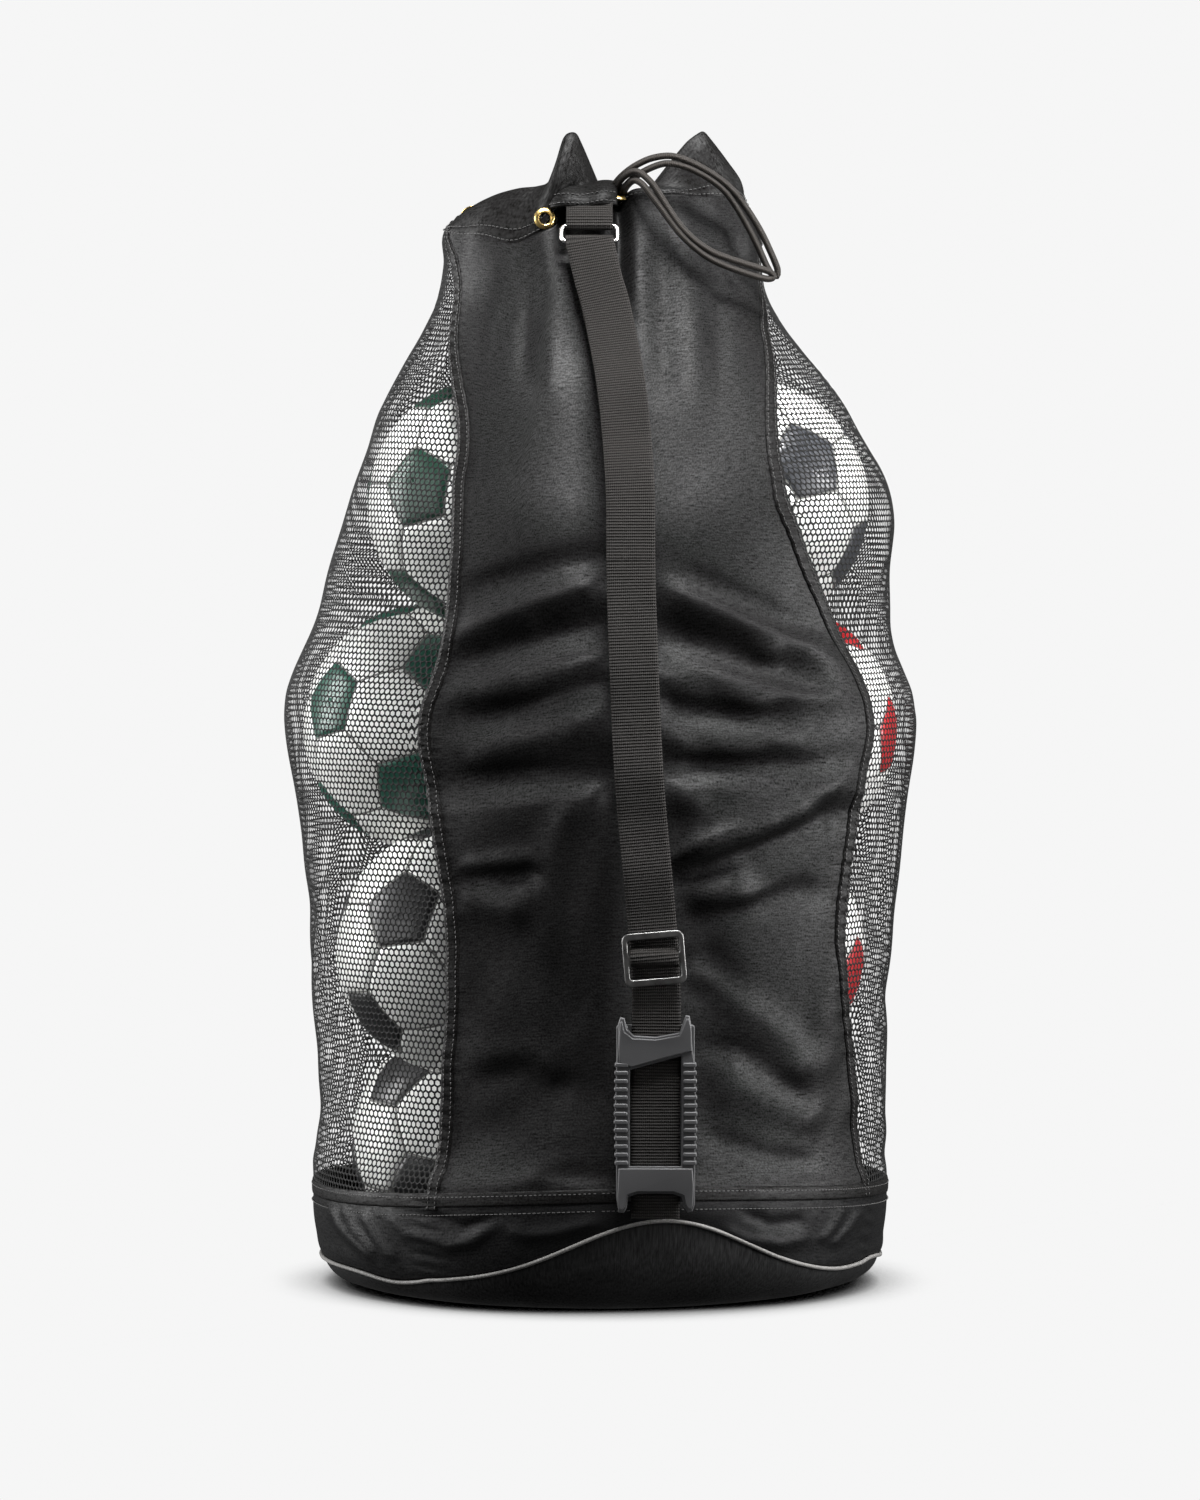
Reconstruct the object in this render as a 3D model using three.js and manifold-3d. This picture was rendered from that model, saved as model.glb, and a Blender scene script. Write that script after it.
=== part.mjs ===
// Mesh ball bag: a drawstring sack for footballs, shown filled and drawn shut.
//
// Woven front and back panels and two net side windows stand on a coated base band and base panel.
// A hemmed collar with brass eyelets closes the mouth on a drawcord, and a shoulder strap runs from
// a ring on the collar, through a tri-glide adjuster and a moulded grip, to the base seam.
//
// Millimetres, +Z up. The origin is the centre of the base on the floor, and the strap side is -Y.
// Angles are degrees round the bag: 0 at the front (-Y), 90 at the right (+X).
import * as THREE from "three";
import { mergeVertices } from "three/addons/utils/BufferGeometryUtils.js";
import Module from "manifold-3d";

const wasm = await Module();
wasm.setup();

// ---- Driving dimensions -------------------------------------------------------------------------

const FABRIC = 2; // wall of a panel, a net window or the base
const SEAM_GAP = 0.4; // clearance left between two sewn pieces
const SEAM_HEIGHT = 82; // where the base band meets the panels
const COLLAR_BOTTOM = 912;
const COLLAR_TOP = 956;
const HEM = 3; // thickness of the folded collar
const FOOT_RADIUS = 205; // flat part of the base, on the floor

// Outline of the filled bag as [height, value] stations.
const HALF_WIDTH = [
  [0, FOOT_RADIUS], [10, 231], [27, 246], [80, 250], [168, 250], [255, 252], [326, 257],
  [396, 265], [449, 273], [484, 279], [519, 276], [554, 262], [589, 253], [624, 248],
  [659, 244], [694, 236], [730, 221], [765, 205], [800, 182], [835, 158], [861, 144],
  [914, 140], [931, 132], [956, 108],
];
const HALF_DEPTH = [
  [0, FOOT_RADIUS], [10, 229], [27, 240], [80, 243], [243, 244], [431, 255], [491, 258],
  [593, 242], [687, 221], [764, 176], [841, 118], [912, 84], [956, 68],
];
const LEAN = [
  [519, 0], [589, 4], [624, 8], [659, 15], [694, 18], [730, 16], [765, 10], [835, 4], [912, 2],
  [956, 14],
];

// Edges of the four panels as [height, angle] stations, clockwise from the front left.
const FRONT_LEFT = [
  [80, -36], [130, -35], [200, -34], [300, -32], [400, -34], [480, -36], [560, -34], [640, -34],
  [700, -36], [764, -39], [841, -58], [912, -75],
];
const FRONT_RIGHT = [
  [80, 67], [150, 64], [220, 60], [300, 55], [360, 56], [430, 58], [500, 60], [550, 58],
  [600, 52], [650, 45], [700, 41], [765, 46], [825, 60], [865, 76], [912, 84],
];
const BACK_RIGHT = [[80, 138], [500, 130], [764, 130], [850, 140], [912, 145]];
const BACK_LEFT = [[80, 226], [480, 226], [600, 224], [700, 228], [800, 224], [912, 218]];

const BALL_RADIUS = 109; // a full-size football
// Four levels of balls. Each has a left and a right ball, and all but the top one a third ball
// on the other side of the bag, so that the levels nest.
const BALL_LEVELS = [
  { height: 112, left: -112.5, right: 112.5, side: 62, third: -127 },
  { height: 295.5, left: -121, right: 121, side: -57, third: 128 },
  { height: 483.5, left: -154, right: 154, side: 50, third: -127 },
  { height: 682, left: -94, right: 125, side: -36 },
];

const WEB_WIDTH = 42;
const WEB = 1.8; // webbing thickness
// Middle line of the strap's inner layer, from the base seam up to the ring.
const STRAP_START = [46.5, -249, 91.5];
const GLIDE_POINT = [46.5, -259, 290];
const STRAP_INNER = [
  STRAP_START, GLIDE_POINT, [33, -266, 450], [29, -263, 530], [26, -250, 620],
  [25, -227, 700], [18, -181, 780], [5, -129, 850],
];
const STRAP_KNEE = 2; // the strap runs straight between its first points, up to this one
const LAYER_GAP = 3.4; // from the strap's inner layer to its outer one
const RETURN_END = 40; // the outer layer ends this far above the tri-glide's middle
const ANCHOR = [[46.5, -244.6, 84], [46.5, -248.4, 90]]; // where the strap is sewn into the base

const GLIDE_SIZE = { width: 51, height: 44, bar: 5, thick: 3 };
const GLIDE_RISE = 14; // its middle above GLIDE_POINT
const GLIDE_OUT = 6.8; // its middle in front of the strap's inner layer
const GRIP_SIZE = { width: 66, height: 156, back: 1.6, front: 5.4, channel: 4 };
const GRIP_WINDOW = { width: 43, height: 100 };
const GRIP_RISE = 80.5; // its middle above STRAP_START
const GRIP_RIBS = 12;
const RIB_PITCH = 7.2;
const RIB = { width: 8, height: 3.6, rise: 1.2 };

const RING_TOP = new THREE.Vector3(-9, -93, 921); // middle of the ring's upper bar
const RING_PITCH = 15; // distance between the ring's two long bars
const RING_WIDTH = 51;
const RING_WIRE = 3.4;
const RING_TILT = 26; // degrees the ring leans out from vertical

const EYELET_RADIUS = 9.2;
const EYELET_HOLE = 5.4;
const EYELET_HEIGHT = 933;
const EYELET_ANGLES = [12, 74, 118, 162, 205, 245, 285, 340];
const CORD_RADIUS = 2.1;

const STRAND_GAP = 6; // between the two strands of a pull loop

// ---- Materials ----------------------------------------------------------------------------------

function material(color, roughness, metalness = 0) {
  return new THREE.MeshStandardMaterial({ color, roughness, metalness });
}
const WOVEN = material(0x1c1b1c, 0.72);
const NET = material(0x0e0e10, 0.8);
const COATED = material(0x201f20, 0.6);
const PIPING = material(0x6f6d69, 0.5);
const WEBBING = material(0x3b3531, 0.85);
const CORD = material(0x2c2520, 0.85);
const BRASS = material(0xc79a3a, 0.3, 1);
const STEEL = material(0x8b8986, 0.35, 1);
const MOULDED = material(0x39393b, 0.5);
const BALL = material(0xe9e8e2, 0.4);

// ---- Shape helpers ------------------------------------------------------------------------------

const DEG = Math.PI / 180;
const lerp = THREE.MathUtils.lerp;
const bell = (distance, width) => Math.exp(-((distance / width) ** 2));
const vectors = (points) => points.map((p) => new THREE.Vector3(...p));

// Angle from -180 to 180 degrees.
function wrapped(angle) {
  return ((((angle + 180) % 360) + 360) % 360) - 180;
}

// Value at a height on the smooth curve through [height, value] stations.
function at(stations, height) {
  const last = stations.length - 1;
  if (height <= stations[0][0]) return stations[0][1];
  if (height >= stations[last][0]) return stations[last][1];
  const slope = (i) => {
    const [h0, v0] = stations[Math.max(i - 1, 0)];
    const [h1, v1] = stations[Math.min(i + 1, last)];
    return (v1 - v0) / (h1 - h0);
  };
  const i = stations.findIndex(([h]) => h > height) - 1;
  const [h0, v0] = stations[i];
  const [h1, v1] = stations[i + 1];
  const step = h1 - h0;
  const s = (height - h0) / step;
  const blend = s * s * (3 - 2 * s);
  const rise = step * (s * (1 - s) ** 2 * slope(i) - s * s * (1 - s) * slope(i + 1));
  return lerp(v0, v1, blend) + rise;
}

// A point on the filled bag, moved out along the surface's normal.
function bagPoint(angle, height, out = 0) {
  const on = (a, h) =>
    new THREE.Vector3(
      at(LEAN, h) + at(HALF_WIDTH, h) * Math.sin(a * DEG),
      -at(HALF_DEPTH, h) * Math.cos(a * DEG),
      h,
    );
  const around = on(angle + 0.5, height).sub(on(angle - 0.5, height));
  const up = on(angle, height + 1).sub(on(angle, height - 1));
  return on(angle, height).addScaledVector(around.cross(up).normalize(), out);
}

// Moves every vertex of a geometry to where place puts it.
function warp(geometry, place) {
  const position = geometry.getAttribute("position");
  const vertex = new THREE.Vector3();
  for (let i = 0; i < position.count; i++) {
    const to = place(vertex.fromBufferAttribute(position, i));
    position.setXYZ(i, to.x, to.y, to.z);
  }
  geometry.computeVertexNormals();
  return geometry;
}

// A curved slab: place(u, v, w) has u and v from 0 to 1 over the sheet and w 0 inside, 1 outside.
function slab(columns, rows, place) {
  const box = new THREE.BoxGeometry(1, 1, 1, columns, rows, 1);
  return warp(box, ({ x, y, z }) => place(x + 0.5, y + 0.5, z + 0.5));
}

// A closed band round the bag: place(angle, v, w) as for slab.
function band(segments, rows, place) {
  const steps = Array.from({ length: rows + 1 }, (_, i) => i / rows);
  const outside = steps.map((v) => new THREE.Vector2(2, v));
  const inside = steps.map((v) => new THREE.Vector2(1, 1 - v));
  const lathe = new THREE.LatheGeometry([...outside, ...inside, outside[0]], segments);
  return warp(lathe, ({ x, y, z }) => place(Math.atan2(x, z) / DEG, y, Math.hypot(x, z) - 1));
}

// A closed cord round the bag: route(turn) is its middle line and where on the bag that is.
function hoop(segments, sides, radius, route) {
  const torus = new THREE.TorusGeometry(2, 1, sides, segments);
  return warp(torus, ({ x, y, z }) => {
    const { centre, angle } = route(Math.atan2(x, -y) / DEG);
    const across = new THREE.Vector3(Math.sin(angle * DEG), -Math.cos(angle * DEG), 0);
    return centre
      .addScaledVector(across, radius * (Math.hypot(x, y) - 2))
      .add(new THREE.Vector3(0, 0, radius * z));
  });
}

// A round cord along an open curve.
function cordAlong(curve, radius, steps, sides) {
  const section = new THREE.Shape().absarc(0, 0, radius, 0, 2 * Math.PI);
  return new THREE.ExtrudeGeometry(section, {
    steps,
    curveSegments: sides,
    extrudePath: curve,
  });
}

// A flat ribbon along a curve, with its width across the bag's front. Its rows are evenly spaced,
// or follow the curve's own points where a turn is tight.
function ribbon(curve, width, thickness, steps, tight = false) {
  return slab(2, steps, (u, v, w) => {
    const along = tight ? curve.getTangent(v) : curve.getTangentAt(v);
    const across = new THREE.Vector3(1, 0, 0).addScaledVector(along, -along.x).normalize();
    const out = new THREE.Vector3().crossVectors(across, along);
    return (tight ? curve.getPoint(v) : curve.getPointAt(v))
      .addScaledVector(across, width * (u - 0.5))
      .addScaledVector(out, thickness * (w - 0.5));
  });
}

function roundedRectangle(path, width, height, radius) {
  const x = width / 2;
  const y = height / 2;
  const r = radius;
  path.moveTo(r - x, -y).lineTo(x - r, -y).absarc(x - r, r - y, r, -Math.PI / 2, 0);
  path.lineTo(x, y - r).absarc(x - r, y - r, r, 0, Math.PI / 2);
  path.lineTo(r - x, y).absarc(r - x, y - r, r, Math.PI / 2, Math.PI);
  path.lineTo(-x, r - y).absarc(r - x, r - y, r, Math.PI, 1.5 * Math.PI);
  return path;
}

// A rounded plate in the XY plane, centred on the origin.
function plate(width, height, radius, thickness) {
  const outline = roundedRectangle(new THREE.Shape(), width, height, radius);
  return new THREE.ExtrudeGeometry(outline, {
    depth: thickness,
    bevelEnabled: false,
    curveSegments: 3,
  }).translate(0, 0, -thickness / 2);
}

function solidOf(geometry) {
  const bare = geometry.clone();
  bare.deleteAttribute("normal");
  bare.deleteAttribute("uv");
  const merged = mergeVertices(bare, 1e-3);
  return new wasm.Manifold(
    new wasm.Mesh({
      numProp: 3,
      vertProperties: merged.attributes.position.array,
      triVerts: new Uint32Array(merged.index.array),
    }),
  );
}

function geometryOf(solid) {
  const { vertProperties, triVerts, numProp } = solid.getMesh();
  const position = [];
  for (let i = 0; i < vertProperties.length; i += numProp) {
    position.push(vertProperties[i], vertProperties[i + 1], vertProperties[i + 2]);
  }
  return new THREE.BufferGeometry()
    .setAttribute("position", new THREE.Float32BufferAttribute(position, 3))
    .setIndex(new THREE.BufferAttribute(triVerts, 1));
}

const bag = new THREE.Group();

function add(name, geometry, finish, parent = bag) {
  const mesh = new THREE.Mesh(geometry, finish);
  mesh.name = name;
  parent.add(mesh);
  return mesh;
}

// ---- Base ---------------------------------------------------------------------------------------

// The strap lifts both seams where it is sewn in, at the front.
const seamHeight = (angle) => SEAM_HEIGHT + 19 * bell(wrapped(angle - 10), 55);
const pipingHeight = (angle) => 24 + 56 * bell(wrapped(angle - 12), 28);

function basePanel() {
  const rings = 8;
  const steps = Array.from({ length: rings + 1 }, (_, i) => i / rings);
  const under = steps.map((s) => new THREE.Vector2(s, 0));
  const over = steps.map((s) => new THREE.Vector2(1 - s, 1));
  const lathe = new THREE.LatheGeometry([...under, ...over], 36);
  return warp(lathe, ({ x, y, z }) => {
    const s = Math.hypot(x, z);
    const angle = Math.atan2(x, z) / DEG;
    if (s < 0.499) {
      const radius = (s / 0.5) * FOOT_RADIUS;
      return new THREE.Vector3(
        radius * Math.sin(angle * DEG),
        -radius * Math.cos(angle * DEG),
        FABRIC * y,
      );
    }
    const height = lerp(0, pipingHeight(angle) - 2.6, (s - 0.5) / 0.5);
    const point = bagPoint(angle, height, -FABRIC * y);
    point.z = s < 0.501 ? FABRIC * y : point.z;
    return point;
  });
}

function baseBand() {
  return band(40, 2, (angle, v, w) => {
    const height = lerp(pipingHeight(angle) + 2.6, seamHeight(angle) - SEAM_GAP, v);
    return bagPoint(angle, height, FABRIC * (w - 1));
  });
}

function basePiping() {
  return hoop(44, 5, 1.6, (angle) => ({
    centre: bagPoint(angle, pipingHeight(angle), 0.6),
    angle,
  }));
}

add("base_panel", basePanel(), COATED);
add("base_band", baseBand(), COATED);
add("base_piping", basePiping(), PIPING);

// ---- Panels and net windows ---------------------------------------------------------------------

const PANEL_ROWS = 22;

function panel(left, right, columns, rows) {
  return slab(columns, rows, (u, v, w) => {
    const nominal = lerp(SEAM_HEIGHT, COLLAR_BOTTOM, v);
    const gap = SEAM_GAP / at(HALF_WIDTH, nominal) / DEG;
    const angle = lerp(left(nominal) + gap, right(nominal) - gap, u);
    const height = lerp(seamHeight(angle) + SEAM_GAP, COLLAR_BOTTOM - SEAM_GAP, v);
    return bagPoint(angle, height, FABRIC * (w - 1));
  });
}

const edge = (stations, turn = 0) => (height) => at(stations, height) + turn;
add("front_panel", panel(edge(FRONT_LEFT), edge(FRONT_RIGHT), 11, PANEL_ROWS), WOVEN);
add("net_window_right", panel(edge(FRONT_RIGHT), edge(BACK_RIGHT), 8, PANEL_ROWS), NET);
add("back_panel", panel(edge(BACK_RIGHT), edge(BACK_LEFT), 13, PANEL_ROWS), WOVEN);
add("net_window_left", panel(edge(BACK_LEFT), edge(FRONT_LEFT, 360), 8, PANEL_ROWS), NET);

// ---- Collar, its folds and eyelets --------------------------------------------------------------

// The hem's top edge dips at the left end, where the mouth folds over, and beside the strap tab.
const collarTop = (angle) =>
  COLLAR_TOP - 22 * bell(wrapped(angle + 92), 26) - 6 * bell(wrapped(angle - 12), 12);

function collarPoint(angle, height, out) {
  const rise = (height - COLLAR_BOTTOM) / (COLLAR_TOP - COLLAR_BOTTOM);
  return bagPoint(angle, height, out).add(
    new THREE.Vector3(0, 9 * rise * bell(wrapped(angle - 12), 10), 0),
  );
}

// Turns a piece built round +Z so that it stands on the collar, facing out.
function seatEyelet(geometry, angle) {
  const centre = collarPoint(angle, EYELET_HEIGHT, -HEM / 2);
  const out = collarPoint(angle, EYELET_HEIGHT, 5).sub(centre).normalize();
  const turn = new THREE.Quaternion().setFromUnitVectors(new THREE.Vector3(0, 0, 1), out);
  return geometry.clone().applyQuaternion(turn).translate(centre.x, centre.y, centre.z);
}

// A flanged ring with a groove for the hem; grow widens it, for the hole it sits in.
function grommet(grow) {
  const barrel = EYELET_HOLE + 0.9 + grow;
  const rim = EYELET_RADIUS + grow;
  const hem = HEM / 2 + 0.4 - grow;
  const face = HEM / 2 + 1.2 + grow * 3;
  const hole = grow > 0 ? 0 : EYELET_HOLE;
  const half = [[barrel, hem], [rim, hem], [rim, face], [hole, face]];
  const mirrored = half.map(([r, y]) => [r, -y]).reverse();
  const points = [...mirrored, ...half].map(([r, y]) => new THREE.Vector2(r, y));
  if (!grow) points.push(points[0]);
  return new THREE.LatheGeometry(points, 10).rotateX(Math.PI / 2);
}

function collarHem() {
  const wall = band(56, 2, (angle, v, w) =>
    collarPoint(angle, lerp(COLLAR_BOTTOM, collarTop(angle), v), HEM * (w - 1)),
  );
  const cutter = grommet(0.3);
  return geometryOf(
    EYELET_ANGLES.reduce(
      (left, angle) => left.subtract(solidOf(seatEyelet(cutter, angle))),
      solidOf(wall),
    ),
  );
}

add("collar_hem", collarHem(), WOVEN);
EYELET_ANGLES.forEach((angle, i) => {
  add(`eyelet_${i + 1}`, seatEyelet(grommet(0), angle), BRASS);
});

// The cord weaves through the hem, crossing it at each eyelet.
const COLLAR_RADIUS = 100; // the hem's mean radius
const CORD_SWING = 6.5; // from the middle of the hem to the middle of the cord
const CROSSING = 4.6; // half the length it crosses in
function drawcordRing() {
  const count = EYELET_ANGLES.length;
  return hoop(15 * count, 5, CORD_RADIUS, (turn) => {
    const spot = (((turn + 360) % 360) / 360) * count;
    const first = Math.floor(spot) % count;
    const from = EYELET_ANGLES[first];
    const to = EYELET_ANGLES[(first + 1) % count] + (first + 1 < count ? 0 : 360);
    const angle = lerp(from, to, THREE.MathUtils.smoothstep(spot % 1, 0, 1));
    const reach = Math.min(angle - from, to - angle) * DEG * COLLAR_RADIUS;
    const swing = CORD_SWING * Math.min(1, reach / CROSSING);
    return {
      centre: collarPoint(angle, EYELET_HEIGHT, -HEM / 2 + (first % 2 ? -swing : swing)),
      angle,
    };
  });
}

add("drawcord", drawcordRing(), CORD);

// ---- Collar folds: the points of the hem that stand up either side of the drawn mouth ----------

// A pointed, flattened tuck of cloth that stands on the hem at an angle round the bag.
const FOLD_BASE = 958.5; // a little above the hem, so that the fold can tip
function collarFold(angle, width, depth, tip) {
  const base = collarPoint(angle, FOLD_BASE, -HEM / 2);
  const out = new THREE.Vector3(Math.sin(angle * DEG), -Math.cos(angle * DEG), 0);
  const along = new THREE.Vector3(-out.y, out.x, 0);
  return warp(new THREE.ConeGeometry(1, 1, 12, 3), ({ x, y, z }) =>
    new THREE.Vector3()
      .lerpVectors(base, tip, y + 0.5)
      .addScaledVector(along, (width / 2) * x)
      .addScaledVector(out, (depth / 2) * z),
  );
}

const LEFT_TIP = new THREE.Vector3(-24, -50, 1006);
const RIGHT_TIP = new THREE.Vector3(89, -26, 1008);
add("collar_fold_left", collarFold(-27, 36, 8, LEFT_TIP), WOVEN);
add("collar_fold_right", collarFold(50, 60, 8, RIGHT_TIP), WOVEN);

// ---- Pull loops: two hairpins of cord that leave the mouth and lie over the right of the collar -

function pullLoop(points) {
  const line = new THREE.CatmullRomCurve3(vectors(points));
  const across = (t) => {
    const along = line.getTangent(t);
    return new THREE.Vector3().crossVectors(along, new THREE.Vector3(0, -1, 0)).normalize();
  };
  const strand = (t, shift) => line.getPoint(t).addScaledVector(across(t), shift);
  const steps = [0, 0.2, 0.4, 0.6, 0.8, 0.95];
  const half = STRAND_GAP / 2;
  const go = steps.map((t) => strand(t, half));
  const back = steps.map((t) => strand(t, -half)).reverse();
  const path = new THREE.CatmullRomCurve3([...go, line.getPoint(1), ...back]);
  return cordAlong(path, CORD_RADIUS, 32, 3);
}

const UPPER_LOOP = [
  [22, -76, 966], [48, -78, 984], [80, -68, 982], [116, -56, 948], [138, -46, 914], [152, -40, 888],
];
const LOWER_LOOP = [
  [22, -88, 957], [42, -93, 962], [60, -95, 942], [80, -99, 914], [112, -88, 898], [146, -64, 882],
];
add("pull_loop_upper", pullLoop(UPPER_LOOP), CORD);
add("pull_loop_lower", pullLoop(LOWER_LOOP), CORD);

// ---- Strap ring and its tab ---------------------------------------------------------------------

const tilt = RING_TILT * DEG;
const ringDown = new THREE.Vector3(0, -Math.sin(tilt), -Math.cos(tilt));
const RING_LOW = RING_TOP.clone().addScaledVector(ringDown, RING_PITCH);

// A loop of wire: a rounded rectangle of round bar.
function strapRing() {
  const outline = roundedRectangle(new THREE.Path(), RING_WIDTH - RING_WIRE, RING_PITCH, 4);
  const torus = new THREE.TorusGeometry(2, 1, 5, 42);
  const wire = warp(torus, ({ x, y, z }) => {
    const turn = (Math.atan2(y, x) / (2 * Math.PI) + 1) % 1;
    const centre = outline.getPointAt(turn);
    const along = outline.getTangentAt(turn);
    const across = (RING_WIRE / 2) * (Math.hypot(x, y) - 2);
    return new THREE.Vector3(
      centre.x + along.y * across,
      (-RING_WIRE / 2) * z,
      centre.y - along.x * across,
    );
  });
  const middle = RING_TOP.clone().lerp(RING_LOW, 0.5);
  return wire.rotateX(-tilt).translate(middle.x, middle.y, middle.z);
}

// Webbing that comes up to a bar, turns round it and goes back; side is -1 to pass under the bar.
const TURN_RADIUS = RING_WIRE / 2 + 2.3 + WEB / 2;
const TURN_LEAN = 28 * DEG; // the webbing comes up to the ring leaning back by this much
function turnRound(bar, side, inner, outer, width) {
  const turn = [0, 1, 2, 3, 4, 5, 6].map((i) => {
    const a = (i / 6) * Math.PI;
    const round = new THREE.Vector3(0, Math.cos(a), side * Math.sin(a));
    round.applyAxisAngle(new THREE.Vector3(1, 0, 0), -TURN_LEAN);
    return bar.clone().addScaledVector(round, TURN_RADIUS);
  });
  return ribbon(new THREE.CatmullRomCurve3([inner, ...turn, outer]), width, WEB, 24, true);
}

add("strap_ring", strapRing(), STEEL);
add(
  "strap_tab",
  turnRound(
    RING_TOP,
    -1,
    new THREE.Vector3(RING_TOP.x, -76.6, 955),
    new THREE.Vector3(RING_TOP.x, -79.6, 956),
    WEB_WIDTH - 3,
  ),
  WEBBING,
);

// ---- Shoulder strap -----------------------------------------------------------------------------

// A frame on the strap: X across it, Y along it, Z out from the bag.
function strapFrame(from, to, rise, out) {
  const along = to.clone().sub(from).normalize();
  const across = new THREE.Vector3(1, 0, 0).addScaledVector(along, -along.x).normalize();
  const normal = new THREE.Vector3().crossVectors(across, along);
  const origin = from.clone().addScaledVector(along, rise).addScaledVector(normal, out);
  return new THREE.Matrix4().makeBasis(across, along, normal).setPosition(origin);
}

// The strap's route, straight up to the knee and smooth beyond it.
function strapRoute(points) {
  const route = new THREE.CurvePath();
  for (let i = 0; i < STRAP_KNEE; i++) {
    route.add(new THREE.LineCurve3(points[i], points[i + 1]));
  }
  route.add(new THREE.CatmullRomCurve3(points.slice(STRAP_KNEE)));
  return route;
}

const INNER = vectors(STRAP_INNER);
const glideFrame = strapFrame(INNER[1], INNER[2], GLIDE_RISE, GLIDE_OUT);
const gripFrame = strapFrame(INNER[0], INNER[1], GRIP_RISE, 0);

// The outer layer starts above the tri-glide and follows the inner one.
function outerPoints() {
  const start = strapFrame(INNER[1], INNER[2], GLIDE_RISE + RETURN_END, LAYER_GAP);
  const rest = INNER.slice(2).map((point, i) => {
    const before = INNER[i + 1];
    const after = INNER[Math.min(i + 3, INNER.length - 1)];
    const along = after.clone().sub(before).normalize();
    const out = new THREE.Vector3(1, 0, 0).cross(along).normalize();
    return point.clone().addScaledVector(out, LAYER_GAP);
  });
  return [new THREE.Vector3().setFromMatrixPosition(start), ...rest];
}
const OUTER = outerPoints();

function strapWeb() {
  return ribbon(strapRoute(INNER), WEB_WIDTH, WEB, 34);
}

function strapReturn() {
  const route = new THREE.CurvePath();
  route.add(new THREE.LineCurve3(OUTER[0], OUTER[1]));
  route.add(new THREE.CatmullRomCurve3(OUTER.slice(1)));
  return ribbon(route, WEB_WIDTH, WEB, 28);
}

// The layers' upper ends go on into the turn round the ring, a little above where they stop.
const TURN_LEAD = new THREE.Vector3(-2.5, 6.4, 8);
function strapTurn() {
  const inner = INNER.at(-1).clone().add(TURN_LEAD);
  const outer = OUTER.at(-1).clone().add(TURN_LEAD);
  return turnRound(RING_LOW, 1, inner, outer, WEB_WIDTH - 3);
}

add(
  "strap_anchor",
  ribbon(new THREE.LineCurve3(...vectors(ANCHOR)), WEB_WIDTH, WEB, 2),
  WEBBING,
);
add("strap_web", strapWeb(), WEBBING);
add("strap_return", strapReturn(), WEBBING);
add("strap_turn", strapTurn(), WEBBING);

// A three-bar slide: a plate with two slots.
function triGlide() {
  const { width, height, bar, thick } = GLIDE_SIZE;
  const slot = (height - 3 * bar) / 2;
  const outline = roundedRectangle(new THREE.Shape(), width, height, 5);
  for (const y of [-1, 1]) {
    const x = width / 2 - bar * 0.8;
    const low = (y * (slot + bar)) / 2 - slot / 2;
    const hole = new THREE.Path().moveTo(-x, low).lineTo(-x, low + slot);
    outline.holes.push(hole.lineTo(x, low + slot).lineTo(x, low));
  }
  return new THREE.ExtrudeGeometry(outline, {
    depth: thick,
    bevelSize: 0.5,
    bevelThickness: 0.5,
    bevelOffset: -0.5,
    bevelSegments: 1,
    curveSegments: 3,
  }).translate(0, 0, -thick / 2);
}

// The end of the webbing, folded over the tri-glide's middle bar.
function strapRoll() {
  const { bar, thick } = GLIDE_SIZE;
  const clear = 0.75 + WEB / 2;
  const y = bar / 2 + clear;
  const z = thick / 2 + clear;
  const path = vectors([
    [0, -y, -1.4], [0, -y, 1.2], [0, -0.7 * y, z], [0, 0.7 * y, z], [0, y, 1.2], [0, y, -1.4],
  ]);
  return ribbon(new THREE.CatmullRomCurve3(path), WEB_WIDTH - 2, WEB, 14);
}

add("tri_glide", triGlide().applyMatrix4(glideFrame), STEEL);
add("strap_roll", strapRoll().applyMatrix4(glideFrame), WEBBING);

// A moulded sleeve: the strap runs through its channel and shows in its window.
function shoulderGrip() {
  const { width, height, back, front, channel } = GRIP_SIZE;
  const thick = back + channel + front;
  const middle = channel / 2 + front - thick / 2;
  let grip = solidOf(plate(width, height, 9, thick).translate(0, 0, middle));
  const way = new THREE.BoxGeometry(WEB_WIDTH + 3, height + 4, channel);
  const window = plate(GRIP_WINDOW.width, GRIP_WINDOW.height, 4, front + 2).translate(
    0,
    0,
    channel / 2 + front / 2,
  );
  grip = grip.subtract(solidOf(way)).subtract(solidOf(window));
  const face = channel / 2 + front;
  for (const side of [-1, 1]) {
    for (let i = 0; i < GRIP_RIBS; i++) {
      const rib = new THREE.BoxGeometry(RIB.width, RIB.height, 2 * RIB.rise).translate(
        side * (width / 2 - 1 - RIB.width / 2),
        (i - (GRIP_RIBS - 1) / 2) * RIB_PITCH,
        face,
      );
      grip = grip.add(solidOf(rib));
    }
  }
  return geometryOf(grip);
}

add("shoulder_grip", shoulderGrip().applyMatrix4(gripFrame), MOULDED);

// ---- Seam bindings: folded tape behind each of the four upright seams ---------------------------

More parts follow.
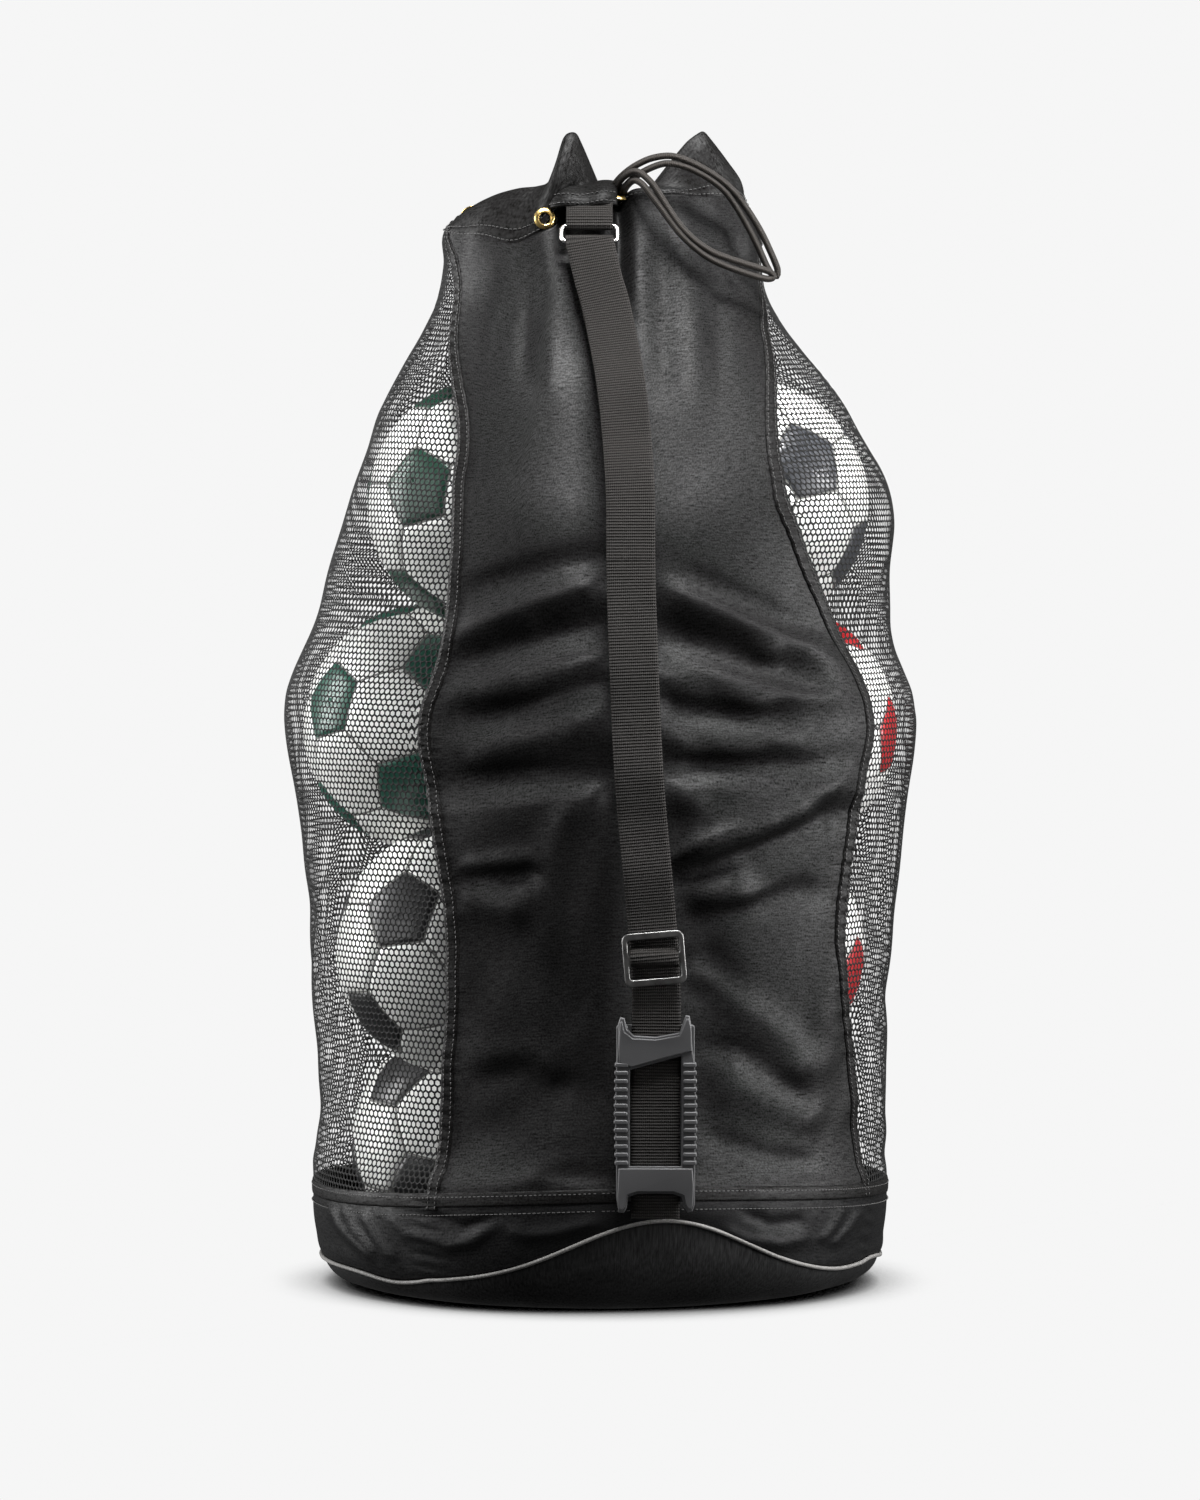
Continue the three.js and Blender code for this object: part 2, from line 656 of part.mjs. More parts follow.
const BINDING = { width: 10, thick: 1, gap: 1.4 };
function seamBinding(stations, turn = 0) {
  return slab(2, PANEL_ROWS, (u, v, w) => {
    const nominal = lerp(SEAM_HEIGHT, COLLAR_BOTTOM, v);
    const half = at(HALF_WIDTH, nominal) * DEG;
    const angle = at(stations, nominal) + turn + (BINDING.width / half) * (u - 0.5);
    const height = lerp(seamHeight(angle) + 2, COLLAR_BOTTOM - 2, v);
    return bagPoint(angle, height, -FABRIC - BINDING.gap - BINDING.thick * (1 - w));
  });
}
add("seam_front_left", seamBinding(FRONT_LEFT), WOVEN);
add("seam_front_right", seamBinding(FRONT_RIGHT), WOVEN);
add("seam_back_right", seamBinding(BACK_RIGHT), WOVEN);
add("seam_back_left", seamBinding(BACK_LEFT), WOVEN);

// ---- The footballs the bag holds ----------------------------------------------------------------

let count = 0;
function addBall(x, y, z) {
  count += 1;
  const ball = new THREE.SphereGeometry(BALL_RADIUS, 14, 9).rotateX(Math.PI / 2);
  add(`ball_${String(count).padStart(2, "0")}`, ball.translate(x, y, z), BALL);
}
for (const { height, left, right, side, third } of BALL_LEVELS) {
  addBall(left, side, height);
  addBall(right, side, height);
  if (third !== undefined) addBall(0, third, height);
}

export default bag;
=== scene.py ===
"""Looks for the mesh ball bag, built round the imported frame. Lengths here are millimetres until a
mesh is made; angles are degrees round the bag, 0 at the strap (-Y) and 90 at the right (+X)."""

import math

import bpy
import numpy as np
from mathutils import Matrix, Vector

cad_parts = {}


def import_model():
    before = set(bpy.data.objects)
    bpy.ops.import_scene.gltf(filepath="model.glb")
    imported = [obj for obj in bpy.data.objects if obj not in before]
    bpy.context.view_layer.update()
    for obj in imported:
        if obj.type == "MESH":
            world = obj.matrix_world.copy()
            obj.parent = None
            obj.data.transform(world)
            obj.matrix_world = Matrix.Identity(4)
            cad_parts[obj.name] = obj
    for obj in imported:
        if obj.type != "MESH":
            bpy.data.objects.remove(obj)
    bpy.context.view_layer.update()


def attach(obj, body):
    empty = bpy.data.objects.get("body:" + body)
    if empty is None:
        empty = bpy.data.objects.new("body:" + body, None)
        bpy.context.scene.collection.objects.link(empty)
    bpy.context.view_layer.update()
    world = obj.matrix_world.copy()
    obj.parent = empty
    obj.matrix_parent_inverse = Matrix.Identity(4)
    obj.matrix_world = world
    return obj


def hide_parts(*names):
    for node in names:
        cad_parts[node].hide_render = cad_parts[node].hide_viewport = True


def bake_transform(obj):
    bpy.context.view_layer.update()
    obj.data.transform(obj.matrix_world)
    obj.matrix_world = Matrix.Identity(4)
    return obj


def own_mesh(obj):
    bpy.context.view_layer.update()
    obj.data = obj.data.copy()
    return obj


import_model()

rng = np.random.default_rng(7)
MM = 0.001
DEG = math.pi / 180
EYE_DISTANCE, EYE_HEIGHT = 5250, 700

# ---- Outline of the filled bag: [height, value] stations ----

LEFT = [
    (0, 205), (10, 233), (27, 245), (45, 247), (80, 250), (115, 251), (168, 248), (220, 248),
    (255, 249), (291, 253), (326, 255), (361, 259), (396, 263), (431, 269), (466, 276), (490, 279),
    (505, 279), (519, 277), (536, 271), (554, 263), (572, 255), (589, 249), (624, 240), (659, 229),
    (695, 218), (730, 205), (765, 194), (800, 175), (835, 154), (861, 141), (890, 136), (914, 138),
    (931, 130), (949, 112), (966, 104),
]
RIGHT = [
    (0, 205), (10, 231), (27, 247), (45, 248), (80, 252), (115, 252), (168, 252), (220, 254),
    (255, 254), (291, 257), (326, 259), (361, 262), (396, 266), (431, 271), (466, 277), (490, 279),
    (505, 277), (519, 274), (536, 267), (554, 260), (572, 257), (589, 256), (624, 256), (659, 260),
    (677, 259), (695, 255), (712, 248), (730, 237), (747, 226), (765, 215), (782, 203), (800, 190),
    (817, 176), (835, 162), (861, 147), (890, 141), (914, 141), (931, 134), (949, 125), (966, 121),
]
DEPTH = [
    (0, 205), (10, 229), (27, 240), (80, 243), (243, 244), (431, 255), (491, 258), (593, 242),
    (687, 221), (764, 176), (841, 118), (912, 84), (966, 64),
]
TOP = 966

# Upright seams as (height, angle).
FRONT_LEFT = [
    (80, -36), (130, -35), (200, -34), (300, -32), (400, -34), (480, -36), (560, -34), (640, -34),
    (700, -36), (764, -39), (841, -58), (912, -75), (966, -88),
]
FRONT_RIGHT = [
    (80, 67), (150, 64), (220, 60), (300, 55), (360, 56), (430, 58), (500, 60), (550, 58),
    (600, 52), (650, 45), (700, 41), (765, 46), (825, 60), (865, 76), (912, 84), (966, 88),
]
BACK_RIGHT = [(80, 138), (500, 130), (764, 130), (850, 140), (912, 145), (966, 145)]
BACK_LEFT = [(80, 226), (480, 226), (600, 224), (700, 228), (800, 224), (912, 218), (966, 218)]

BALL_RADIUS = 109
BALLS = [
    ("ball_01", -112.5, 62, 112), ("ball_02", 112.5, 62, 112), ("ball_03", 0, -127, 112),
    ("ball_04", -121, -57, 295.5), ("ball_05", 121, -57, 295.5), ("ball_06", 0, 128, 295.5),
    ("ball_07", -154, 50, 483.5), ("ball_08", 154, 50, 483.5), ("ball_09", 0, -127, 483.5),
    ("ball_10", -94, -36, 682), ("ball_11", 125, -36, 682),
]


def at(stations, where):
    """Value on the smooth curve through the stations."""
    h, v = np.array(stations, float).T
    where = np.clip(where, h[0], h[-1])
    slope = np.empty_like(v)
    slope[1:-1] = (v[2:] - v[:-2]) / (h[2:] - h[:-2])
    slope[0] = (v[1] - v[0]) / (h[1] - h[0])
    slope[-1] = (v[-1] - v[-2]) / (h[-1] - h[-2])
    i = np.clip(np.searchsorted(h, where, side="right") - 1, 0, len(h) - 2)
    step = h[i + 1] - h[i]
    s = (where - h[i]) / step
    keep = v[i] * (1 + 2 * s) * (1 - s) ** 2 + v[i + 1] * s * s * (3 - 2 * s)
    return keep + step * (slope[i] * s * (1 - s) ** 2 - slope[i + 1] * s * s * (1 - s))


def bell(distance, width):
    return np.exp(-((distance / width) ** 2))


def unit(vectors):
    return vectors / np.maximum(np.linalg.norm(vectors, axis=-1, keepdims=True), 1e-9)


def run_along(path):
    """Distance along a path at each of its points."""
    return np.concatenate([[0], np.cumsum(np.linalg.norm(np.diff(path, axis=0), axis=1))])


def wrapped(angle):
    return (angle + 180) % 360 - 180


def smooth(s):
    s = np.clip(s, 0, 1)
    return s * s * (3 - 2 * s)


def within(value, low, rise, high, fall):
    """Rises from 0 to 1 in the stretch above low, and falls back to 0 in the one above high."""
    return smooth((value - low) / rise) * (1 - smooth((value - high) / fall))


def seam_height(angle):
    return 82 + 19 * bell(wrapped(angle - 10), 55)


def piping_height(angle):
    a = wrapped(angle - 12)
    return 24 + 56 * bell(a, 25) - 5 * bell(a + 58, 9) + 5 * bell(a - 60, 10)


# ---- The filled surface on a fine grid of angle and height ----

COLUMNS, ROWS = 960, 700
ANGLES = np.arange(COLUMNS) * 360 / COLUMNS
HEIGHTS = np.linspace(0, TOP, ROWS)
A, H = np.meshgrid(ANGLES, HEIGHTS)
FRONTNESS = np.cos(A * DEG)  # 1 at the strap, -1 at the back


def plain_surface(angle, height):
    s, c = np.sin(angle * DEG), np.cos(angle * DEG)
    left, right = at(LEFT, height), at(RIGHT, height)
    half = left + (right - left) * (0.5 + 0.5 * s)
    return np.stack([s * half, -c * at(DEPTH, height), height + 0 * angle], -1)


def normals(points):
    """Outward unit normals of a closed grid (rows, columns, 3)."""
    around = np.roll(points, -1, 1) - np.roll(points, 1, 1)
    up = np.gradient(points, axis=0)
    return unit(np.cross(around, up))


def blur(field, rows, columns):
    """A soft blur of a closed grid, with box windows run twice."""
    for _ in range(2):
        if columns:
            pad = np.concatenate([field[:, -columns:], field, field[:, :columns]], 1)
            total = np.cumsum(pad, 1)
            total = np.concatenate([0 * total[:, :1], total], 1)
            window = 2 * columns + 1
            field = (total[:, window:] - total[:, :-window]) / window
        if rows:
            pad = np.concatenate([field[:1]] * rows + [field] + [field[-1:]] * rows)
            total = np.cumsum(pad, 0)
            total = np.concatenate([0 * total[:1], total])
            window = 2 * rows + 1
            field = (total[window:] - total[:-window]) / window
    return field


def seen(points):
    """Where points appear in the plane of the bag's middle, from the camera in front."""
    k = EYE_DISTANCE / (EYE_DISTANCE + points[..., 1])
    return points[..., 0] * k, EYE_HEIGHT + (points[..., 2] - EYE_HEIGHT) * k


def line_distance(u, v, line):
    """Distance to a polyline, and how far along it (0 to 1) the nearest point is."""
    best = np.full(u.shape, 1e9)
    share = np.zeros(u.shape)
    line = np.array(line, float)
    run = run_along(line)
    for i in range(len(line) - 1):
        d = line[i + 1] - line[i]
        s = np.clip(((u - line[i, 0]) * d[0] + (v - line[i, 1]) * d[1]) / (d @ d), 0, 1)
        far = np.hypot(u - line[i, 0] - s * d[0], v - line[i, 1] - s * d[1])
        near = far < best
        best = np.where(near, far, best)
        share = np.where(near, (run[i] + s * (run[i + 1] - run[i])) / run[-1], share)
    return best, share


# Creases of the front panel: (height, width, points seen from the front).
CREASES = [
    (-5, 11, [(-150, 600), (-97, 617), (-40, 634), (0, 642), (28, 646)]),
    (9, 15, [(-164, 560), (-110, 580), (-64, 596), (-8, 612), (28, 620)]),
    (-7, 12, [(-162, 540), (-105, 560), (-60, 573), (-6, 588), (28, 596)]),
    (7, 14, [(-164, 513), (-92, 535), (-19, 551), (28, 560)]),
    (-5, 12, [(-162, 489), (-92, 510), (-19, 524), (28, 532)]),
    (5, 14, [(-160, 462), (-92, 480), (-10, 494), (30, 500)]),
    (-4, 12, [(-156, 437), (-64, 450), (6, 462), (34, 466)]),
    (5, 30, [(-158, 392), (-80, 404), (0, 416), (36, 420)]),
    (-6, 9, [(-140, 351), (-92, 356), (-52, 360)]),
    (4, 16, [(-146, 330), (-95, 336), (-60, 330)]),
    (6, 34, [(-120, 260), (-60, 240), (-10, 200)]),
    (-4, 14, [(-130, 180), (-70, 190), (-20, 160)]),
    (-5, 10, [(60, 632), (90, 620), (146, 594), (206, 566)]),
    (9, 16, [(26, 618), (60, 610), (118, 588), (188, 558), (246, 514)]),
    (-8, 12, [(26, 586), (60, 577), (132, 553), (216, 524)]),
    (7, 15, [(26, 552), (60, 543), (132, 525), (202, 515), (248, 505)]),
    (-6, 13, [(28, 520), (60, 514), (132, 500), (196, 492)]),
    (4, 14, [(30, 488), (60, 486), (130, 478), (200, 472)]),
    (-6, 13, [(32, 458), (60, 456), (130, 450), (205, 446), (240, 470)]),
    (9, 17, [(36, 356), (66, 371), (118, 396), (188, 422), (242, 457)]),
    (-8, 12, [(38, 342), (66, 353), (132, 378), (202, 404), (246, 430)]),
    (5, 18, [(42, 328), (66, 334), (104, 344), (150, 356)]),
    (-5, 11, [(72, 316), (160, 332), (216, 350)]),
    (-8, 16, [(84, 236), (120, 262), (92, 300)]),
    (7, 16, [(90, 268), (150, 228), (208, 180)]),
    (-6, 12, [(78, 205), (130, 200), (200, 150)]),
    (6, 20, [(92, 178), (150, 160), (214, 148)]),
    (-5, 10, [(86, 128), (150, 108), (205, 102)]),
    (4, 12, [(-110, 800), (-92, 870), (-84, 915)]),
    (-4, 8, [(-70, 780), (-62, 860), (-58, 915)]),
    (5, 12, [(-44, 760), (-40, 830), (-36, 905)]),
    (4, 10, [(38, 780), (36, 850), (30, 930)]),
    (-4, 9, [(60, 760), (56, 850), (50, 935)]),
    (5, 13, [(86, 740), (80, 830), (74, 935)]),
    (-3, 9, [(110, 760), (102, 850), (98, 935)]),
]
BAND_CREASES = [
    (2.6, 4, [(-240, 70), (-228, 47), (-214, 31), (-195, 12)]),
    (2.2, 3.4, [(-228, 68), (-216, 45), (-193, 17)]),
    (2.6, 3.6, [(-209, 61), (-195, 35), (-181, 12)]),
    (2.0, 3.4, [(-200, 70), (-186, 33), (-176, 10)]),
    (2.8, 6, [(-193, 68), (-169, 40), (-132, 29), (-111, 33), (-94, 47), (-80, 52)]),
    (-2.4, 5, [(-150, 60), (-136, 52), (-122, 45), (-104, 49), (-85, 54)]),
    (2.4, 6, [(-87, 47), (-64, 38), (-40, 40), (7, 52)]),
    (2.2, 6, [(100, 48), (128, 34), (160, 30), (190, 40)]),
    (2.2, 4, [(232, 66), (218, 46), (200, 26)]), (2.0, 4, [(215, 66), (204, 46), (190, 30)]),
    (-2.0, 6, [(120, 60), (150, 48), (184, 52)]),
]
# The strap's place on the panel, as (height, x).
STRAP_LINE = [
    (90, 46), (290, 46), (440, 33), (530, 29), (620, 26), (700, 25), (780, 17), (850, 5),
    (925, -9),
]


LOOSE_WAVES = 26
LOOSE_DEPTH = 4.5
PUCKER_PITCH = 10.5


def sunk(points):
    """Between the balls the cloth sinks a little; the outline seen from the front stays."""
    gap = np.full(A.shape, 1e9)
    for _, x, y, z in BALLS:
        away = np.linalg.norm(points - np.array([x, y, z]), axis=-1) - BALL_RADIUS
        gap = np.minimum(gap, away)
    sink = np.clip(gap - 3, 0, 34) * 0.45 * within(H, 90, 60, 700, 120)
    return blur(sink * FRONTNESS ** 2, 9, 7)


def front_creases(points):
    """The front panel's creases, the valley that the strap presses into it, and the belt of
    cloth drawn in over the middle balls, with a ledge below it."""
    u, v = seen(points)
    crease = np.zeros(A.shape)
    for height, width, line in CREASES:
        d, share = line_distance(u, v, line)
        level = max(level for _, level in line)
        height = height * (0.5 if level > 860 else 0.9 if level > 330 else 0.55)
        crease += height * bell(d, width) * smooth(share / 0.3) * smooth((1 - share) / 0.22)
    x = points[..., 0]
    valley = 9 * bell(x - at(STRAP_LINE, H), 46) * within(H, 130, 160, 760, 120)
    ledge = 436 + 0.12 * np.minimum(x, 0)
    drawn = 20 * within(H, ledge, 30, 480, 190) * bell(x + 5, 135)
    crease -= np.maximum(valley, drawn) + 0.4 * np.minimum(valley, drawn)
    return crease * smooth((FRONTNESS + 0.1) / 0.4)


def loose_creases():
    """Shallow creases of the sides and back, from a few crossing waves."""
    loose = np.zeros(A.shape)
    for _ in range(LOOSE_WAVES):
        turns = rng.integers(2, 9)
        rise = rng.uniform(-0.045, 0.045)
        phase = rng.uniform(0, 2 * math.pi)
        centre, spread = rng.uniform(120, 860), rng.uniform(60, 150)
        at_angle, width = rng.uniform(95, 265), rng.uniform(25, 60)
        wave = np.sin(turns * A * DEG + rise * H + phase) ** 3
        loose += wave * bell(H - centre, spread) * bell(wrapped(A - at_angle), width)
    return LOOSE_DEPTH * loose * smooth((0.35 - FRONTNESS) / 0.5)


def seam_puckers(points):
    """Where the seams' thread draws the cloth in."""
    pucker = np.zeros(A.shape)
    for edge, start in ((FRONT_LEFT, 0), (FRONT_RIGHT, 2), (BACK_RIGHT, 4), (BACK_LEFT, 1)):
        off = wrapped(A - at(edge, H)) * DEG * np.hypot(points[..., 0], points[..., 1])
        beat = H * 2 * math.pi / PUCKER_PITCH + start
        beat += 2.2 * np.sin(H / 47 + start) + 1.1 * np.sin(H / 19)
        swell = 0.6 + 0.4 * np.sin(H / 60 + start)
        pucker += 0.75 * np.sin(beat + off / 14) * bell(off, 15) * swell
    return pucker


def gathers():
    """Upright folds below the drawn collar, with two deep ones beside the strap's tab."""
    turn = A * DEG
    gather = np.sin(turn * 13 + 1.6 * np.sin(2 * turn + 1)) + 0.6 * np.sin(turn * 21 + 2)
    gather *= 1.3 * smooth((H - 790) / 130) * (1 - 0.6 * np.abs(np.sin(turn)) ** 3)
    gather -= 13 * bell(wrapped(A - 7), 3.4) * smooth((H - 815) / 90)
    return gather - 6 * bell(wrapped(A + 12), 4.5) * smooth((H - 860) / 60)


def make_surface():
    """The filled bag's surface with all its creases, before its cloth has settled."""
    points = plain_surface(A, H)
    moved = front_creases(points) - sunk(points) + loose_creases()
    moved += seam_puckers(points) + gathers()
    return points + normals(points) * moved[..., None]


def grid_faces(rows, columns, closed=False):
    """Quads over a grid of points, facing out when columns run around and rows run up."""
    j, i = np.meshgrid(np.arange(rows - 1), np.arange(columns if closed else columns - 1),
                       indexing="ij")
    a = j * columns + i
    b = j * columns + (i + 1) % columns
    return np.stack([a, b, b + columns, a + columns], -1).reshape(-1, 4)


def linked(name, data):
    obj = bpy.data.objects.new(name, data)
    bpy.context.scene.collection.objects.link(obj)
    return obj


def hidden_mesh(name, points, faces):
    mesh = bpy.data.meshes.new(name)
    mesh.from_pydata(points.tolist(), [], faces.tolist())
    return linked(name, mesh)


def lookup(field, i, j):
    """Values between the points of a grid; i counts its columns, which close, and j its rows."""
    i, j = np.broadcast_arrays(i, j)
    i0, j0 = np.floor(i).astype(int), np.floor(j).astype(int)
    fi, fj = i - i0, j - j0
    if field.ndim == 3:
        fi, fj = fi[..., None], fj[..., None]
    columns = field.shape[1]
    i0, i1 = i0 % columns, (i0 + 1) % columns
    low = field[j0, i0] * (1 - fi) + field[j0, i1] * fi
    high = field[j0 + 1, i0] * (1 - fi) + field[j0 + 1, i1] * fi
    return low * (1 - fj) + high * fj


def sample(field, angle, height):
    """The bag's fine grid of values at any angles and heights."""
    row = np.asarray(height, float) / TOP * (ROWS - 1)
    return lookup(field, np.asarray(angle, float) % 360 / 360 * COLUMNS,
                  np.clip(row, 0, ROWS - 1.001))


# The sack's cloth is held by its base and collar, and a little by its seams.
SETTLED_LOW, SETTLED_HIGH = 88, 918
SETTLED_GRID = 168, 136
SETTLED_FRAMES = 34
HELD = 88, 26, 884, 30


def settling_cloth(sheet):
    cloth = sheet.modifiers.new("cloth", "CLOTH")
    for name, value in (
        ("quality", 5), ("mass", 0.25), ("air_damping", 6), ("tension_stiffness", 18),
        ("compression_stiffness", 12), ("shear_stiffness", 6), ("bending_stiffness", 2.0),
        ("shrink_min", -0.012), ("vertex_group_mass", "hold"), ("pin_stiffness", 0.6),
    ):
        setattr(cloth.settings, name, value)
    cloth.collision_settings.distance_min = 0.002
    cloth.point_cache.frame_start = 1
    cloth.point_cache.frame_end = SETTLED_FRAMES


def settling_balls():
    balls = []
    turn = np.arange(28) * 2 * math.pi / 28
    lift = np.linspace(-math.pi / 2 + 0.05, math.pi / 2 - 0.05, 16)[:, None]
    for name, x, y, z in BALLS:
        shell = np.stack([np.cos(lift) * np.cos(turn), np.cos(lift) * np.sin(turn),
                          np.sin(lift) + 0 * turn], -1) * (BALL_RADIUS - 1) + np.array([x, y, z])
        ball = hidden_mesh("settling_" + name, shell.reshape(-1, 3) * MM, grid_faces(16, 28, True))
        ball.modifiers.new("collision", "COLLISION")
        ball.collision.thickness_outer = 0.002
        balls.append(ball)
    return balls


def settled(surface):
    """How far each point of the bag moves in or out when its cloth, cut a little long, settles
    under gravity over the balls; from a cloth simulation of the whole sack."""
    columns, rows = SETTLED_GRID
    angle = np.arange(columns) * 360 / columns
    height = np.linspace(SETTLED_LOW, SETTLED_HIGH, rows)
    a, h = np.meshgrid(angle, height)
    rest = sample(surface, a, h)
    out = unit(sample(normals(surface), a, h))
    sheet = hidden_mesh("settling_sheet", rest.reshape(-1, 3) * MM, grid_faces(rows, columns, True))
    hold = sheet.vertex_groups.new(name="hold")
    seam = np.zeros(a.shape)
    for edge in (FRONT_LEFT, FRONT_RIGHT, BACK_RIGHT, BACK_LEFT):
        seam = np.maximum(seam, bell(wrapped(a - at(edge, h)), 3.5))
    weight = np.round(np.clip(1.05 + 0.22 * seam - within(h, *HELD), 0, 1).reshape(-1), 2)
    for level in np.unique(weight):
        hold.add([int(i) for i in np.nonzero(weight == level)[0]], float(level), "REPLACE")
    settling_cloth(sheet)
    balls = settling_balls()
    scene = bpy.context.scene
    for step in range(1, SETTLED_FRAMES + 1):
        scene.frame_set(step)
    made = sheet.evaluated_get(bpy.context.evaluated_depsgraph_get()).to_mesh()
    co = np.empty(len(made.vertices) * 3)
    made.vertices.foreach_get("co", co)
    moved = ((co.reshape(rest.shape) / MM - rest) * out).sum(-1)
    scene.frame_set(1)
    for obj in (sheet, *balls):
        mesh = obj.data
        bpy.data.objects.remove(obj)
        bpy.data.meshes.remove(mesh)
    row = (H - SETTLED_LOW) / (SETTLED_HIGH - SETTLED_LOW) * (rows - 1)
    field = lookup(5 * np.tanh(moved / 6), A / 360 * columns, np.clip(row, 0, rows - 1.001))
    return blur(field, 3, 3) * within(H, *HELD)


CLOTH_GAP = 2.4


def clear_of_balls(points):
    """The cloth pushed out wherever it would cut into a ball, first broadly and then exactly."""
    for spread in (16, 10, 6, 3, 0):
        push = np.zeros(points.shape)
        for _, x, y, z in BALLS:
            away = points - np.array([x, y, z])
            length = np.linalg.norm(away, axis=-1, keepdims=True)
            push += away / length * np.maximum(BALL_RADIUS + CLOTH_GAP - length, 0)
        points = points + (1.5 * blur(push, spread, spread) if spread else push)
    return points


def finished_surface():
    surface = make_surface()
    moved = settled(surface) * (1 - 0.6 * np.abs(np.sin(A * DEG)) ** 6)
    moved *= 1 - 0.7 * smooth((H - 700) / 120) * (FRONTNESS > 0)
    under = bell(surface[..., 0] - at(STRAP_LINE, H), 32) * (FRONTNESS > 0)
    moved = np.where(moved > 0, moved * (1 - under), moved)
    surface = surface + normals(surface) * moved[..., None]
    return clear_of_balls(surface)


SURFACE = finished_surface()
NORMAL = normals(SURFACE)


def on_bag(angle, height, out=0.0):
    n = unit(sample(NORMAL, angle, height))
    return sample(SURFACE, angle, height) + n * np.asarray(out, float)[..., None]


# ---- Materials ----


class Value:
    """A number in a material, with the usual arithmetic."""

    def __init__(self, nodes, socket):
        self.nodes = nodes
        self.socket = socket

    def __add__(self, other):
        return self.nodes.math("ADD", self, other)

    def __sub__(self, other):
        return self.nodes.math("SUBTRACT", self, other)

    def __rsub__(self, other):
        return self.nodes.math("SUBTRACT", other, self)

    def __mul__(self, other):
        return self.nodes.math("MULTIPLY", self, other)

    def __gt__(self, other):
        return self.nodes.math("GREATER_THAN", self, other)

    def __abs__(self):
        return self.nodes.math("ABSOLUTE", self)

    def sine(self):
        return self.nodes.math("SINE", self)

    def ramp(self, low, high, to_low=0.0, to_high=1.0):
        return self.nodes.output("MapRange", [self, low, high, to_low, to_high])


class Nodes:
    """A material under construction: small helpers over its node tree."""

    SOCKETS = {
        "color": "Base Color", "rough": "Roughness", "metal": "Metallic", "normal": "Normal",
        "sheen": "Sheen Weight", "spec": "Specular IOR Level", "coat": "Coat Weight",
    }

    def __init__(self, name):
        self.material = bpy.data.materials.new(name)
        self.material.use_nodes = True
        self.tree = self.material.node_tree
        self.shader = self.tree.nodes["Principled BSDF"]
        self.place = self.output("TexCoord", output="Object")

    def put(self, socket, value):
        if isinstance(value, Value):
            value = value.socket
        if isinstance(value, bpy.types.NodeSocket):
            self.tree.links.new(value, socket)
        else:
            socket.default_value = value

    def output(self, kind, inputs=(), output=0, **named):
        """A new node's output; its inputs are given in order, and the rest by name."""
        node = self.tree.nodes.new("ShaderNode" + kind)
        for socket, value in zip(node.inputs, inputs):
            self.put(socket, value)
        for key, value in named.items():
            if key in node.inputs:
                self.put(node.inputs[key], value)
            else:
                setattr(node, key, value)
        return Value(self, node.outputs[output])

    def set(self, **values):
        for key, value in values.items():
            self.put(self.shader.inputs[self.SOCKETS[key]], value)
        return self.material

    def math(self, operation, a, b=0.0):
        return self.output("Math", (a, b, 0.0), operation=operation)

    def noise(self, vector, scale, detail=2.0, rough=0.5):
        return self.output("TexNoise", output="Fac", Vector=vector, Scale=scale, Detail=detail,
                           Roughness=rough)

    def mix(self, share, a, b):
        node = self.tree.nodes.new("ShaderNodeMix")
        node.data_type = "RGBA"
        self.put(node.inputs["Factor"], share)
        self.put(node.inputs["A"], (*a, 1))
        self.put(node.inputs["B"], (*b, 1))
        return node.outputs["Result"]

    def bump(self, height, strength, distance, **base):
        return self.output("Bump", output="Normal", Height=height, Strength=strength,
                           Distance=distance, **base)

    def sheet(self):
        """(across, along, 0) of a cloth piece in metres, stored on its mesh."""
        vector = self.output("Attribute", output="Vector", attribute_name="sheet")
        split = self.tree.nodes.new("ShaderNodeSeparateXYZ")
        self.put(split.inputs[0], vector)
        return Value(self, split.outputs[0]), Value(self, split.outputs[1]), vector


def weave(across, along, pitch):
    """Height of a plain weave: over and under threads of a given pitch in metres."""
    warp = (across * (math.pi / pitch)).sine()
    weft = (along * (math.pi / pitch)).sine()
    over = warp * weft > 0.0
    return abs(warp) * over + abs(weft) * (1.0 - over)


def cloth_material(name, color, light, rough, shine=0.21, pitch=0.0009, strength=0.17):
    n = Nodes(name)
    across, along, vector = n.sheet()
    fleck = n.noise(vector, 560, 3, 0.6)
    drawn_out = n.output("CombineXYZ", (across * 0.16, along))
    grain = fleck * 0.6 + n.noise(drawn_out, 620, 2) * 0.4
    share = n.noise(n.place, 9, 3) * 0.55 + fleck * 0.45
    threads = n.bump(weave(across, along, pitch), strength, 0.00025)
    return n.set(
        color=n.mix(share.ramp(0.35, 0.7), color, light),
        rough=n.noise(n.place, 24, 3).ramp(0.3, 0.7, rough - 0.05, rough + 0.07),
        normal=n.bump(n.noise(n.place, 60, 4, 0.6), 0.1, 0.0022, Normal=threads),
        spec=grain.ramp(0.36, 0.64, 0.01, shine * 1.1),
    )


def webbing_material():
    n = Nodes("webbing")
    across, along, vector = n.sheet()
    rib = abs((along * (math.pi / 0.0026)).sine())
    warp = abs((across * (math.pi / 0.0016)).sine())
    height = rib + warp * 0.45
    # The colour follows the ribs' height: painted shade in the grooves between them.
    shade = (height + n.noise(vector, 700, 2)).ramp(0.5, 1.9)
    colour_shift = n.noise(n.place, 14, 4) * 0.5 - 0.25
    fur = n.bump(n.noise(vector, 1500, 2), 0.3, 0.0002)
    return n.set(
        color=n.mix(shade + colour_shift, (0.001, 0.00095, 0.0009), (0.0195, 0.018, 0.0168)),
        rough=0.65, spec=0.09, normal=n.bump(height, 0.9, 0.0009, Normal=fur),
    )


